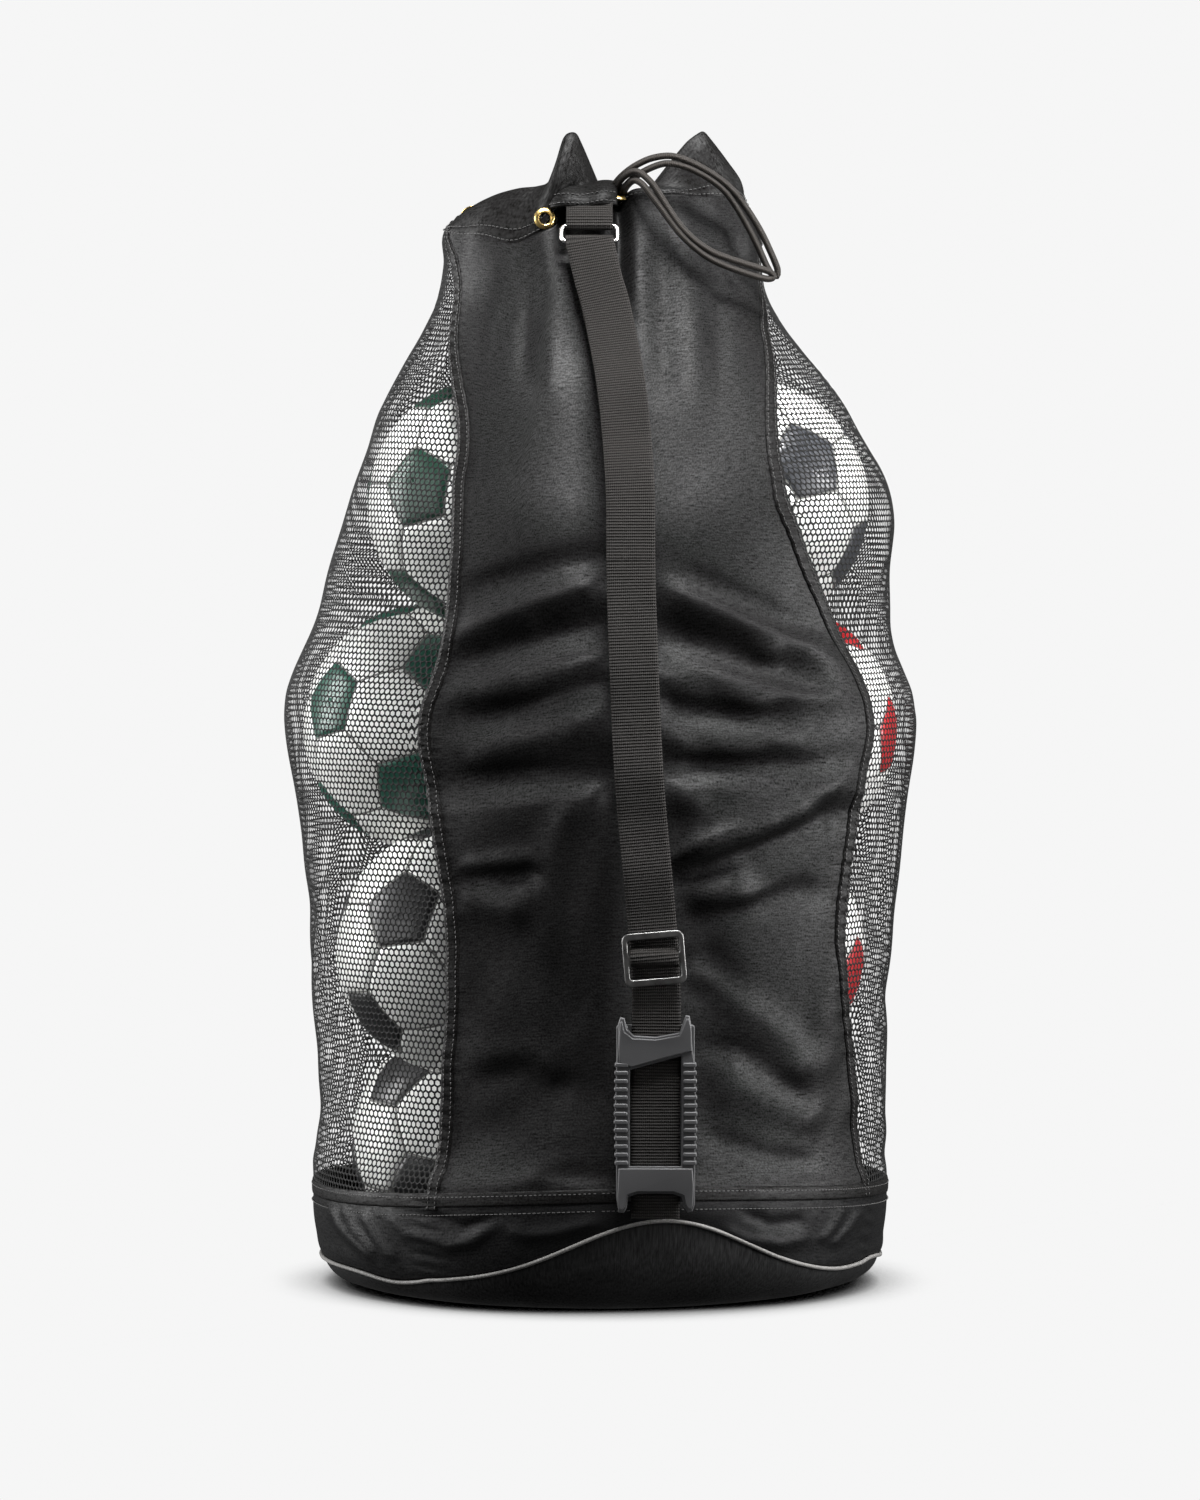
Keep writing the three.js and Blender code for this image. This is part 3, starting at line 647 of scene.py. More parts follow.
def net_material():
    n = Nodes("net_thread")
    grain = n.noise(n.place, 700, 2)
    return n.set(
        color=n.mix(grain, (0.003, 0.003, 0.003), (0.008, 0.008, 0.008)),
        rough=0.7, spec=0.12, normal=n.bump(grain, 0.3, 0.0002),
    )


def cord_material():
    n = Nodes("braided_cord")
    around, along, vector = n.sheet()
    twist = along * (2 * math.pi / 0.006)
    strands = ((twist + around) * 2.0).sine() * ((twist - around) * 2.0).sine()
    # The colour follows the strands' height, varied by noise: painted shade between the strands.
    height = strands.ramp(-1, 1)
    return n.set(
        color=n.mix(height * n.noise(vector, 900, 2), (0.004, 0.003, 0.0024),
                    (0.034, 0.027, 0.021)),
        rough=0.7, sheen=0.03, spec=0.25, normal=n.bump(height, 0.8, 0.0007),
    )


def metal_material(name, color, rough):
    n = Nodes(name)
    wear = n.noise(n.place, 110, 4, 0.6)
    return n.set(
        color=n.mix(wear.ramp(0.35, 0.7), [0.8 * c for c in color], color), metal=1.0,
        rough=wear.ramp(0.3, 0.7, rough * 0.75, rough * 1.35),
        normal=n.bump(n.noise(n.place, 1300, 2), 0.12, 0.0002),
    )


def grip_material():
    n = Nodes("grip_plastic")
    # The colour turns paler on convex edges.
    colour_shift = n.output("NewGeometry", output="Pointiness").ramp(0.5, 0.58)
    return n.set(
        color=n.mix(colour_shift * 0.6, (0.022, 0.022, 0.023), (0.07, 0.07, 0.072)),
        rough=n.noise(n.place, 30, 3).ramp(0.3, 0.7, 0.42, 0.56), spec=0.4,
        normal=n.bump(n.noise(n.place, 1100, 3), 0.25, 0.0003),
    )


def ball_material(name, color, rough=0.36):
    n = Nodes(name)
    grain = n.output("TexVoronoi", output="Distance", Vector=n.place, Scale=420.0)
    scuff = n.noise(n.place, 26, 5, 0.65)
    return n.set(
        color=n.mix(scuff.ramp(0.48, 0.72), color, [0.8 * c for c in color]),
        rough=scuff.ramp(0.3, 0.7, rough - 0.06, rough + 0.14),
        normal=n.bump(grain, 0.22, 0.0004), coat=0.15,
    )


def thread_material():
    n = Nodes("stitch_thread")
    twist = n.noise(n.place, 2200, 1)
    return n.set(
        color=n.mix(twist, (0.006, 0.006, 0.006), (0.045, 0.043, 0.042)),
        rough=0.6, sheen=0.02, normal=n.bump(twist, 0.4, 0.0002),
    )


WOVEN = cloth_material("woven_panel", (0.002, 0.002, 0.002), (0.0055, 0.0053, 0.0053), 0.52)
HEM = cloth_material("hem_cloth", (0.002, 0.0019, 0.0018), (0.005, 0.0047, 0.0046), 0.52, 0.17)
BASE = cloth_material("coated_base", (0.0025, 0.0025, 0.0026), (0.006, 0.006, 0.0062), 0.48, 0.12,
                      pitch=0.0013)
# The base panel's cloth is paler than the band's: a painted reflection of the pale floor.
FOOT_PAINTED_REFLECTION = cloth_material("coated_foot_painted_reflection", (0.004, 0.004, 0.004), (0.017, 0.017, 0.0172), 0.5, 0.12,
                      pitch=0.0016, strength=0.3)
# The piping's pale grey paints in the highlight line that runs along it.
PIPE_PAINTED_HIGHLIGHT = cloth_material("piping_tape_painted_highlight", (0.05, 0.049, 0.047), (0.17, 0.165, 0.16), 0.45,
                      pitch=0.0012, strength=0.4)
WEBBING = webbing_material()
NET = net_material()
CORD = cord_material()
BRASS = metal_material("eyelet_brass", (0.78, 0.55, 0.20), 0.28)
RING_STEEL = metal_material("ring_steel", (0.66, 0.65, 0.63), 0.26)
SLIDE_STEEL = metal_material("slide_steel", (0.17, 0.168, 0.165), 0.36)
GRIP = grip_material()
THREAD = thread_material()
BALL_WHITE = ball_material("ball_white", (0.88, 0.88, 0.86))
BALL_SEAM = ball_material("ball_seam", (0.16, 0.16, 0.15), 0.6)
BALL_COLOURS = {
    "green": ball_material("ball_green", (0.006, 0.045, 0.026)),
    "teal": ball_material("ball_teal", (0.010, 0.085, 0.055)),
    "black": ball_material("ball_black", (0.012, 0.012, 0.013)),
    "grey": ball_material("ball_grey", (0.045, 0.048, 0.055)),
    "red": ball_material("ball_red", (0.42, 0.010, 0.014)),
}

# ---- Mesh helpers ----


def piece(name, points, faces, materials, body, replaces=(), sheet=None, slots=None, slot=None):
    """A mesh from points in millimetres, riding on a body and standing for CAD nodes."""
    points = np.asarray(points, float).reshape(-1, 3)
    mesh = bpy.data.meshes.new(name)
    faces = np.asarray(faces)
    count, corners = faces.shape
    mesh.vertices.add(len(points))
    mesh.vertices.foreach_set("co", (points * MM).astype(np.float32).ravel())
    mesh.loops.add(count * corners)
    mesh.loops.foreach_set("vertex_index", faces.astype(np.int32).ravel())
    mesh.polygons.add(count)
    mesh.polygons.foreach_set("loop_start", np.arange(count, dtype=np.int32) * corners)
    mesh.update(calc_edges=True)
    mesh.validate()
    mesh.polygons.foreach_set("use_smooth", np.full(len(mesh.polygons), True))
    for material in materials if isinstance(materials, list) else [materials]:
        mesh.materials.append(material)
    if slots is not None:
        mesh.polygons.foreach_set("material_index", np.asarray(slots, np.int32))
    if sheet is not None:
        stored = mesh.attributes.new("sheet", "FLOAT_VECTOR", "POINT")
        stored.data.foreach_set("vector", (np.asarray(sheet) * MM).astype(np.float32).ravel())
    obj = linked(name, mesh)
    if body:
        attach(obj, body)
    if replaces:
        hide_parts(*replaces)
    return obj


def thick_sheet(outer, inner, closed=False):
    """Points and quads of a sheet with two faces and rims, from (rows, columns, 3) grids."""
    rows, columns = outer.shape[:2]
    size = rows * columns
    skin = grid_faces(rows, columns, closed)
    faces = [skin, size + skin[:, ::-1]]
    wide = columns if closed else columns - 1
    i = np.arange(wide)
    k = (i + 1) % columns
    top = (rows - 1) * columns
    faces.append(np.stack([i + size, k + size, k, i], -1))
    faces.append(np.stack([top + i, top + k, top + k + size, top + i + size], -1))
    if not closed:
        j = np.arange(rows - 1) * columns
        faces.append(np.stack([j + size, j, j + columns, j + columns + size], -1))
        e = j + columns - 1
        faces.append(np.stack([e, e + size, e + columns + size, e + columns], -1))
    points = np.concatenate([outer.reshape(-1, 3), inner.reshape(-1, 3)])
    return points, np.concatenate(faces)


def sheet_coordinates(points):
    """(across, along, 0) in millimetres over a grid of points, from its middle row and column."""
    rows, columns = points.shape[:2]
    across, along = np.meshgrid(run_along(points[rows // 2]), run_along(points[:, columns // 2]))
    return np.stack([across, along, 0 * across], -1).reshape(-1, 3)


def cloth_piece(name, outer, inner, material, nodes=(), slot=None, closed=False):
    """A sheet of cloth on the bag, with two faces."""
    points, faces = thick_sheet(outer, inner, closed)
    sheet = np.tile(sheet_coordinates(outer), (2, 1))
    piece(name, points, faces, material, "bag", nodes, sheet, slot=slot)


def swept_piece(name, path, section, around, material, body, nodes, slot, **sweep):
    """A tube with, at each point of its mesh, how far that lies around and along it."""
    points, faces = tube(path, section, **sweep)
    along = np.repeat(run_along(path), len(section))
    around = np.tile(around, len(path))
    sheet = np.stack([around, along, 0 * along], -1)
    return piece(name, points, faces, material, body, nodes, sheet, slot=slot)


def merged(parts):
    """Joins (points, faces) pairs into one."""
    points, faces, start = [], [], 0
    for p, f in parts:
        points.append(np.asarray(p).reshape(-1, 3))
        faces.append(np.asarray(f) + start)
        start += len(points[-1])
    return np.concatenate(points), np.concatenate(faces)


def frames(path, up):
    """Tangent, side and normal along a path, with the normal kept close to up."""
    along = unit(np.gradient(path, axis=0))
    side = unit(np.cross(along, np.broadcast_to(up, path.shape)))
    return along, side, np.cross(side, along)


def ring_faces(rows, columns):
    """Quads over a grid that closes both ways."""
    faces = grid_faces(rows + 1, columns, True)
    return faces % (rows * columns)


def end_cap(start, columns):
    """Quads across a closed ring of points that begins at start."""
    i = np.arange(columns // 2 - 1)
    return start + np.stack([i, i + 1, columns - 2 - i, columns - 1 - i], -1)


TOWARDS_CAMERA = (0, -1, 0)


def tube(path, section, up=TOWARDS_CAMERA, closed=False):
    """Sweeps a section (points of side, normal) along a path; open ends get caps of quads."""
    up = np.broadcast_to(up, path.shape)
    if closed:
        wide = np.concatenate([path[-1:], path, path[:1]])
        _, side, out = frames(wide, np.concatenate([up[-1:], up, up[:1]]))
        side, out = side[1:-1], out[1:-1]
    else:
        _, side, out = frames(path, up)
    rings = path[:, None] + side[:, None] * section[:, :1] + out[:, None] * section[:, 1:]
    rows, columns = rings.shape[:2]
    points = rings.reshape(-1, 3)
    if closed:
        return points, ring_faces(rows, columns)[:, ::-1]
    last = end_cap((rows - 1) * columns, columns)
    return points, np.concatenate([grid_faces(rows, columns, True)[:, ::-1],
                                   end_cap(0, columns), last[:, ::-1]])


def arc(start, knee, end, share):
    """A point on the curve that leaves start and reaches end with the knee between them."""
    t = share[..., None]
    return start * (1 - t) ** 2 + knee * 2 * t * (1 - t) + end * t * t


def circle(radius, count=12):
    a = np.arange(count) * 2 * math.pi / count
    return np.stack([np.cos(a), np.sin(a)], -1) * radius


def spline(points, count):
    """Evenly spaced points on the smooth curve through the given ones."""
    points = np.asarray(points, float)
    run = run_along(points)
    fine = np.linspace(0, run[-1], 40 * len(points))
    curve = np.stack([at(list(zip(run, points[:, k])), fine) for k in range(3)], -1)
    length = run_along(curve)
    even = np.linspace(0, length[-1], count)
    return np.stack([np.interp(even, length, curve[:, k]) for k in range(3)], -1)


STITCH_LENGTH, STITCH_PITCH, STITCH_WIDTH = 3.0, 4.2, 0.75


def stitches(path, out):
    """Short raised stitches along a path that lies on cloth with outward normals."""
    run = run_along(path)
    starts = np.arange(STITCH_PITCH * 0.3, run[-1] - STITCH_LENGTH, STITCH_PITCH)
    shares = np.array([0, 0.12, 0.5, 0.88, 1.0])
    rise = np.array([-0.35, 0.35, 0.6, 0.35, -0.35])
    size = np.array([0.5, 0.9, 1.0, 0.9, 0.5])
    s = starts[:, None] + shares * STITCH_LENGTH
    place = np.stack([np.interp(s, run, path[:, k]) for k in range(3)], -1)
    normal = unit(np.stack([np.interp(s, run, out[:, k]) for k in range(3)], -1))
    side = np.cross(unit(place[:, -1:] - place[:, :1]), normal)
    ring = circle(STITCH_WIDTH / 2, 6)
    grid = (place[:, :, None] + normal[:, :, None] * rise[None, :, None, None]
            + side[:, :, None] * (ring[:, 0] * size[:, None])[None, :, :, None]
            + normal[:, :, None] * (ring[:, 1] * size[:, None])[None, :, :, None])
    base = grid_faces(5, 6, True)
    caps = np.array([[0, 1, 4, 5], [1, 2, 3, 4]])
    one = np.concatenate([base, caps[:, ::-1], caps + 24])
    faces = (one[None] + 30 * np.arange(len(starts))[:, None, None]).reshape(-1, 4)
    return grid.reshape(-1, 3), faces


# ---- Base ----

FOOT_RADIUS = 195
BAND_ANGLES = np.arange(360)
STITCH_ANGLES = np.arange(0, 360, 0.25)


def band_piece():
    """The coated band, with drag lines from the strap's end and slack near the floor."""
    low, high = piping_height(BAND_ANGLES) + 1.2, seam_height(BAND_ANGLES) - 0.5
    v = np.linspace(0, 1, 34)[:, None]
    height = low + (high - low) * v
    a = np.broadcast_to(BAND_ANGLES, height.shape)
    outline = on_bag(a, height)
    across, level = seen(outline)
    drag = np.zeros(height.shape)
    for lift, width, line in BAND_CREASES:
        d, share = line_distance(across, level, line)
        drag += lift * bell(d, width) * smooth(share / 0.2) * smooth((1 - share) / 0.2)
    back = smooth((np.cos((a + 180) * DEG) - 0.1) / 0.3)
    for turn, slope, phase in ((0.20, 0.055, 0.3), (0.27, -0.05, 1.9), (0.13, 0.09, 4.0)):
        drag += 0.9 * back * np.sin(turn * wrapped(a) + slope * height + phase)
    drag *= 1 - back + back * np.sin(math.pi * v)
    push = drag + 2.0 * np.sin(math.pi * v)
    outer = on_bag(a, height, push)
    cloth_piece("base_band_cloth", outer, on_bag(a, height, push - 1.6), BASE, ["base_band"],
                "coated_base", closed=True)


def foot_piece():
    """The base panel: flat on the floor, then up to the piping."""
    rings, flat = 46, 0.62
    angle = BAND_ANGLES
    s = np.linspace(0, 1, rings)[1:, None]
    a = np.broadcast_to(angle, (rings - 1, len(angle)))
    rise = np.clip((s - flat) / (1 - flat), 0, 1)
    top = piping_height(angle) - 1.0
    rim = on_bag(a, np.broadcast_to(top, a.shape), -0.6)
    outward = np.stack([np.sin(a * DEG), -np.cos(a * DEG), 0 * a], -1)
    edge = FOOT_RADIUS * outward
    floor = edge * np.minimum(s / flat, 1)[..., None]
    knee = edge + (rim - edge) * 0.93
    knee[..., 2] = np.minimum(top * 0.1, 5)
    under = np.where((s <= flat)[..., None], floor, arc(edge, knee, rim, rise))
    slack = (np.sin(a * DEG * 7 + 0.8) + np.sin(a * DEG * 17 + 2) * 0.6) * np.sin(math.pi * rise)
    under[..., 2] = np.maximum(under[..., 2] + 1.3 * slack * rise, 0)
    points, faces = thick_sheet(under, under + np.array([0, 0, 1.4]), True)
    cap = end_cap(0, len(angle))
    faces = np.concatenate([faces[:, ::-1], cap, cap[:, ::-1] + under[..., 0].size])
    sheet = (under * np.array([1, 1, 0])).reshape(-1, 3)
    piece("base_panel_cloth", points, faces, FOOT_PAINTED_REFLECTION, "bag", ["base_panel"],
          np.tile(sheet, (2, 1)), slot="coated_base")


def base_trim():
    """The piping, the stitches, and the panels' turned lower edge that laps over the band."""
    angle = BAND_ANGLES
    height = piping_height(angle)
    swept_piece("base_piping_cord", on_bag(angle, height, 1.3), circle(1.7, 10),
                np.arange(10) * 1.1, PIPE_PAINTED_HIGHLIGHT, "bag", ["base_piping"], "piping",
                up=sample(NORMAL, angle, height), closed=True)
    for k, (above, out) in enumerate(((3.4, 1.2), (-11.5, 1.6))):
        level = seam_height(STITCH_ANGLES) + above
        path = on_bag(STITCH_ANGLES, level, out)
        rows = stitches(path, sample(NORMAL, STITCH_ANGLES, level))
        piece(f"base_stitches_{k + 1}", *rows, THREAD, "bag")
    strip = np.linspace(-5, 7, 9)[:, None]
    a = np.broadcast_to(angle, (9, len(angle)))
    level = seam_height(a) + strip
    outer = on_bag(a, level, 0.9 + 0.9 * np.exp(-((strip / 6) ** 4)))
    cloth_piece("base_seam", outer, on_bag(a, level, 0.1), HEM, closed=True)


# ---- Panels, seams and net ----


def collar_seam(angle):
    """Height of the stitched lower edge of the collar hem."""
    a = wrapped(angle)
    left = 917 + 3 * np.sin(a * DEG * 4 + 2) - 9 * bell(a + 33, 10)
    right = 941 + 8 * smooth((a + 18) / 16) - 6 * bell(a - 7, 5)
    front = left + (right - left) * smooth((a + 22) / 6)
    back = 930 + 6 * np.sin(a * DEG * 5)
    side = smooth((np.abs(a - 5) - 96) / 25)
    return front + (back - front) * side


def panel_piece(name, left, right, rows, node):
    v = np.linspace(0, 1, rows)[:, None]
    u = np.linspace(0, 1, 150)

    def between(height):
        return at(left, height) + (at(right, height) - at(left, height)) * u

    angle = between(82 + (TOP - 4 - 82) * v)
    low, high = seam_height(angle), np.minimum(collar_seam(angle) + 6, TOP - 1)
    height = low + (high - low) * v
    angle = between(height)
    cloth_piece(name, on_bag(angle, height), on_bag(angle, height, -1.2), WOVEN, [node], "woven")


def seam_piece(name, stations, side, node):
    """A hem over the edge of a panel with two lines of stitches; side is +1 when it lies to the
    right of the seam."""
    out = 0.5
    height = np.linspace(84, 958, 420)
    angle = at(stations, height)
    height = np.minimum(height, collar_seam(angle) + 4)
    radius = np.linalg.norm(plain_surface(angle, height)[:, :2], axis=1)
    slant = np.gradient(angle * DEG * radius) / np.maximum(np.gradient(height), 0.3)
    lean = np.sqrt(1 + np.clip(slant, -1.2, 1.2) ** 2)
    across = np.linspace(-1.2, 11.5, 9)
    lift = out + 0.9 * (1 - np.abs(np.linspace(-1, 1, 9)) ** 6)
    waver = 0.5 * np.sin(height / 17) + 0.35 * np.sin(height / 6.1 + 2)

    def beside(offset):
        return angle + side * (offset * lean + 0.5 * waver) / radius / DEG

    spot = beside(across[:, None]).T
    tall = np.broadcast_to(height[:, None], spot.shape)
    if side < 0:
        spot, lift = spot[:, ::-1], lift[::-1]
    cloth_piece(name, on_bag(spot, tall, np.broadcast_to(lift, spot.shape)),
                on_bag(spot, tall, -0.6), HEM, [node], "woven")
    rows = [stitches(on_bag(beside(offset), height, out + 0.95),
                     sample(NORMAL, beside(offset), height)) for offset in (2.0, 9.2)]
    piece(name + "_stitches", *merged(rows), THREAD, "bag")


NET_PITCH = 6.0
NET_THREAD = 1.8
NET_HALF_WIDTH = 64  # holes to either side of the middle


def net_piece(name, left, right, middle, node):
    """A knitted hexagonal net: one ridged ring of thread round every hole."""
    levels = np.linspace(80, TOP - 2, 500)
    upright = plain_surface(middle + 0 * levels, levels)
    rise = run_along(upright)
    reach = np.linalg.norm(upright[:, :2], axis=1)
    spread = np.maximum(reach, 205 + 0.3 * (reach - 205))
    row_step = NET_PITCH * math.sqrt(3) / 2
    j, i = np.mgrid[:int(rise[-1] / row_step), -NET_HALF_WIDTH:NET_HALF_WIDTH + 1]
    centres = np.stack([(i + j % 2 / 2) * NET_PITCH, (j + 0.5) * row_step], -1).reshape(-1, 2)

    def spot(flat):
        height = np.interp(flat[..., 1], rise, levels)
        return middle + flat[..., 0] / np.interp(height, levels, spread) / DEG, height

    angle, height = spot(centres)
    inside = (angle > at(left, height) - 0.6) & (angle < at(right, height) + 0.6)
    inside &= height > seam_height(angle) - 3
    inside &= height < np.minimum(collar_seam(angle) + 6, TOP - 3)
    centres = centres[inside][:, None]
    jitter = rng.normal(0, 0.1, (len(centres), 1, 2))
    turns = (np.arange(6) * 60 + 30) * DEG
    hexagon = np.stack([np.cos(turns), np.sin(turns)], -1) / math.sqrt(3)
    outer = on_bag(*spot(centres + hexagon * NET_PITCH), 0.35)
    inner = on_bag(*spot(centres + jitter + hexagon * (NET_PITCH - NET_THREAD)), -0.1)
    one = grid_faces(2, 6, True)
    faces = (one + 12 * np.arange(len(centres))[:, None, None]).reshape(-1, 4)
    piece(name, np.concatenate([outer, inner], 1), faces, NET, "bag", [node], slot="net")


def shell_pieces():
    panel_piece("front_panel_cloth", FRONT_LEFT, FRONT_RIGHT, 270, "front_panel")
    panel_piece("back_panel_cloth", BACK_RIGHT, BACK_LEFT, 250, "back_panel")
    net_piece("net_right", FRONT_RIGHT, BACK_RIGHT, 99, "net_window_right")
    net_piece("net_left", BACK_LEFT, [(h, a + 360) for h, a in FRONT_LEFT], 292, "net_window_left")
    for name, seam, side in (("front_left", FRONT_LEFT, 1), ("front_right", FRONT_RIGHT, -1),
                             ("back_right", BACK_RIGHT, 1), ("back_left", BACK_LEFT, -1)):
        seam_piece("hem_" + name, seam, side, "seam_" + name)


# ---- Collar ----

THROAT = np.array([16.0, -14.0, 930.0])
# The drawn mouth's rim across the front: (angle, x, y, z), with its two standing folds.
RIM = [
    (-100, -112, 8, 932), (-85, -118, -12, 934), (-70, -108, -32, 941), (-55, -90, -46, 949),
    (-42, -70, -54, 954), (-31, -52, -58, 956), (-26, -43, -60, 961), (-22.5, -36.5, -60, 979),
    (-19.5, -31, -58, 997), (-17, -25.5, -56, 1002), (-14.5, -20, -54, 1000),
    (-11, -15.5, -53, 984), (-7, -11.5, -55, 964), (-2, -4, -59, 957), (4, 6, -60, 957),
    (9, 12, -56, 951),
    (14, 19, -48, 946), (22, 32, -48, 952), (34, 50, -50, 960), (44, 64, -46, 978),
    (52, 75, -40, 994), (59, 86, -33, 1003), (62, 90, -31, 1004), (66, 95, -29, 999),
    (74, 110, -22, 980), (82, 122, -14, 963), (92, 125, -2, 944), (104, 116, 14, 938),
]


def gathered(angle, reach, height):
    """A pleated line round the throat: its share of the bag's width, and its height."""
    a = wrapped(angle) * DEG
    pleat = np.sin(a * 11 + 1.3 * np.sin(a * 2)) + 0.5 * np.sin(a * 19 + 2)
    wide = plain_surface(angle, np.full(angle.shape, TOP - 2.0)) - THROAT
    line = THROAT + wide * (reach[0] + reach[1] * pleat)[..., None]
    line[..., 2] = height[0] + height[1] * pleat
    return line


def rim_line(angle):
    a = wrapped(angle)
    rows = np.array(RIM, float)
    front = np.stack([at(rows[:, [0, k]], a) for k in (1, 2, 3)], -1)
    back = gathered(angle, (0.86, 0.045), (944, 2.5))
    share = smooth((np.abs(a - 2) - 86) / 16)[..., None]
    return front + (back - front) * share


def collar_point(angle, s):
    """s runs 0 to 1 from the hem's seam up the outside to the rim, then to 2 down the throat."""
    a = wrapped(angle)
    seam = collar_seam(angle)
    start = on_bag(angle, np.minimum(seam, TOP - 2))
    left_ear = np.clip(1 - np.abs(a + 17) / 11, 0, 1)
    right_ear = np.clip(1 - np.abs(a - 62) / 30, 0, 1)
    rim = rim_line(angle)
    crown = start + (rim - start) * 0.45
    crown[..., 2] = np.maximum(seam, rim[..., 2]) - 0.25 * np.abs(rim[..., 2] - seam)
    crown[..., 2] -= 22 * left_ear + 12 * right_ear
    throat = gathered(angle, (0.15, 0.06), (THROAT[2], 3))
    dip = rim + (throat - rim) * 0.3
    dip[..., 2] = rim[..., 2] - 0.25 * (rim[..., 2] - throat[..., 2])
    skin = np.where((s <= 1)[..., None], arc(start, crown, rim, np.clip(s, 0, 1)),
                    arc(rim, dip, throat, np.clip(s - 1, 0, 1)))
    # The standing folds are round, hollow rolls of cloth rather than flat flaps.
    puff = 9 * smooth(left_ear) + 6 * smooth(right_ear)
    skin[..., 1] -= puff * np.sin(math.pi * np.clip(s, 0, 1) ** 1.5) * (s < 1)
    skin[..., 1] += 0.6 * puff * np.sin(math.pi * np.clip(s - 1, 0, 1)) * (s > 1)
    return skin


def hem_flap():
    """The hem's edge where it laps over the ring's tab, with its two lines of stitches."""
    drop = spline([(0, -84.8, 938.0), (0, -84.2, 942.5), (0, -80.4, 948.5), (0, -74.0, 953.5),
                   (0, -66.5, 957.5), (0, -60.0, 959.5)], 22)
    u = np.linspace(-1, 1, 41)
    skin = np.repeat(drop[:, None], len(u), 1)
    skin[..., 0] += -14.5 + 29 * u
    skin[..., 1] += 8.5 * np.abs(u) ** 5 + 0.5 * np.sin(7 * u + 1)
    skin[..., 2] += 1.6 * u - 0.9 * np.cos(5 * u)
    n = unit(np.cross(np.gradient(skin, axis=1), np.gradient(skin, axis=0)))
    cloth_piece("hem_flap", skin + 0.7 * n, skin - 0.7 * n, HEM)
    rows = [stitches(skin[k] + 0.85 * n[k], n[k]) for k in (2, 7)]
    piece("hem_flap_stitches", *merged(rows), THREAD, "bag")


def collar_pieces():
    """The collar's cloth, cut where its two standing folds begin, and the hem's stitches."""
    shares = np.concatenate([np.linspace(0, 0.92, 24), np.linspace(0.94, 1.06, 9),
                             np.linspace(1.1, 2, 22)])
    a, s = np.meshgrid(np.arange(0, 360, 0.5), shares)
    rows, columns = a.shape
    skin = collar_point(a, s)
    over_tab = 4 * within(wrapped(a), -22, 4, 2, 4) * (1 - smooth((s - 0.3) / 0.4))
    outer = skin + normals(skin) * ((1.2 + over_tab) * smooth(s / 0.06))[..., None]
    faces = grid_faces(rows, columns, True)
    level = s.reshape(-1)[faces].mean(1)
    around = wrapped(a.reshape(-1)[faces[:, 0]])
    raised = (level > 0.4) & (level < 1.6)
    left = raised & (np.abs(around + 17) < 10.6)
    right = raised & (np.abs(around - 61) < 24.1)
    points, coordinates = outer.reshape(-1, 3), sheet_coordinates(outer)

    def cut(name, chosen, body, node):
        used, index = np.unique(faces[chosen], return_inverse=True)
        return piece(name, points[used], index.reshape(-1, 4), HEM, body, [node],
                     coordinates[used], slot="woven")

    cut("collar_cloth", ~(left | right), "bag", "collar_hem")
    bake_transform(cut("collar_ear_left", left, None, "collar_fold_left"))
    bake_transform(cut("collar_ear_right", right, None, "collar_fold_right"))
    for k, share in enumerate((0.03, 0.17)):
        here = collar_point(STITCH_ANGLES, np.full(STITCH_ANGLES.shape, share))
        above = collar_point(STITCH_ANGLES, np.full(STITCH_ANGLES.shape, share + 0.02))
        out = unit(np.cross(np.roll(here, -1, 0) - np.roll(here, 1, 0), above - here))
        piece(f"collar_stitches_{k + 1}", *stitches(here + out * 1.5, out), THREAD, "bag")


# (angle round the bag, share of the way up the collar)
EYELETS = [(10, 0.55), (99, 0.4), (126, 0.5), (162, 0.5), (205, 0.5), (235, 0.5), (260, 0.5),
           (339, 0.12)]
# Turned section of an eyelet, as (radius, height): a flat flange and a raised lip round the hole.
EYELET_SECTION = np.array([(5.0, -2.2), (5.0, 1.1), (5.6, 1.9), (6.6, 1.9), (7.6, 1.3), (9.2, 0.7),
                           (9.4, 0.2), (9.2, -0.2), (6.4, -0.2), (6.2, -2.2)])


def eyelet_pieces():
    turn = circle(1, 32)[:, None, None]
    faces = ring_faces(len(turn), len(EYELET_SECTION))
    for i, (angle, share) in enumerate(EYELETS):
        a = np.array([angle - 1.5, angle, angle + 1.5])
        line = collar_point(a, np.full(3, share))
        above = collar_point(a, np.full(3, share + 0.1))
        out = unit(np.cross(line[2] - line[0], above[1] - line[1]))
        side = unit(np.cross([0, 0, 1.0], out))
        ring = turn[..., 0] * side + turn[..., 1] * np.cross(out, side)
        centre = line[1] + out * 1.6
        points = centre + ring[:, None] * EYELET_SECTION[:, :1] + out * EYELET_SECTION[:, 1:]
        piece(f"eyelet_ring_{i + 1}", points, faces, BRASS, "bag", [f"eyelet_{i + 1}"],
              slot="eyelet_brass")


UPPER_CORD = [
    (8, -44, 944), (16, -62, 956), (28, -76, 967), (46, -82, 976), (61, -84, 978), (83, -80, 971),
    (108, -70, 955), (124, -62, 935), (138, -58, 911), (149, -54, 887), (153, -52, 879),
]
LOWER_CORD = [
    (14, -48, 942), (20, -68, 958), (33, -84, 964), (48, -90, 947), (61, -93, 928), (73, -96, 913),
    (93, -94, 897), (118, -86, 887), (150, -66, 878),
]


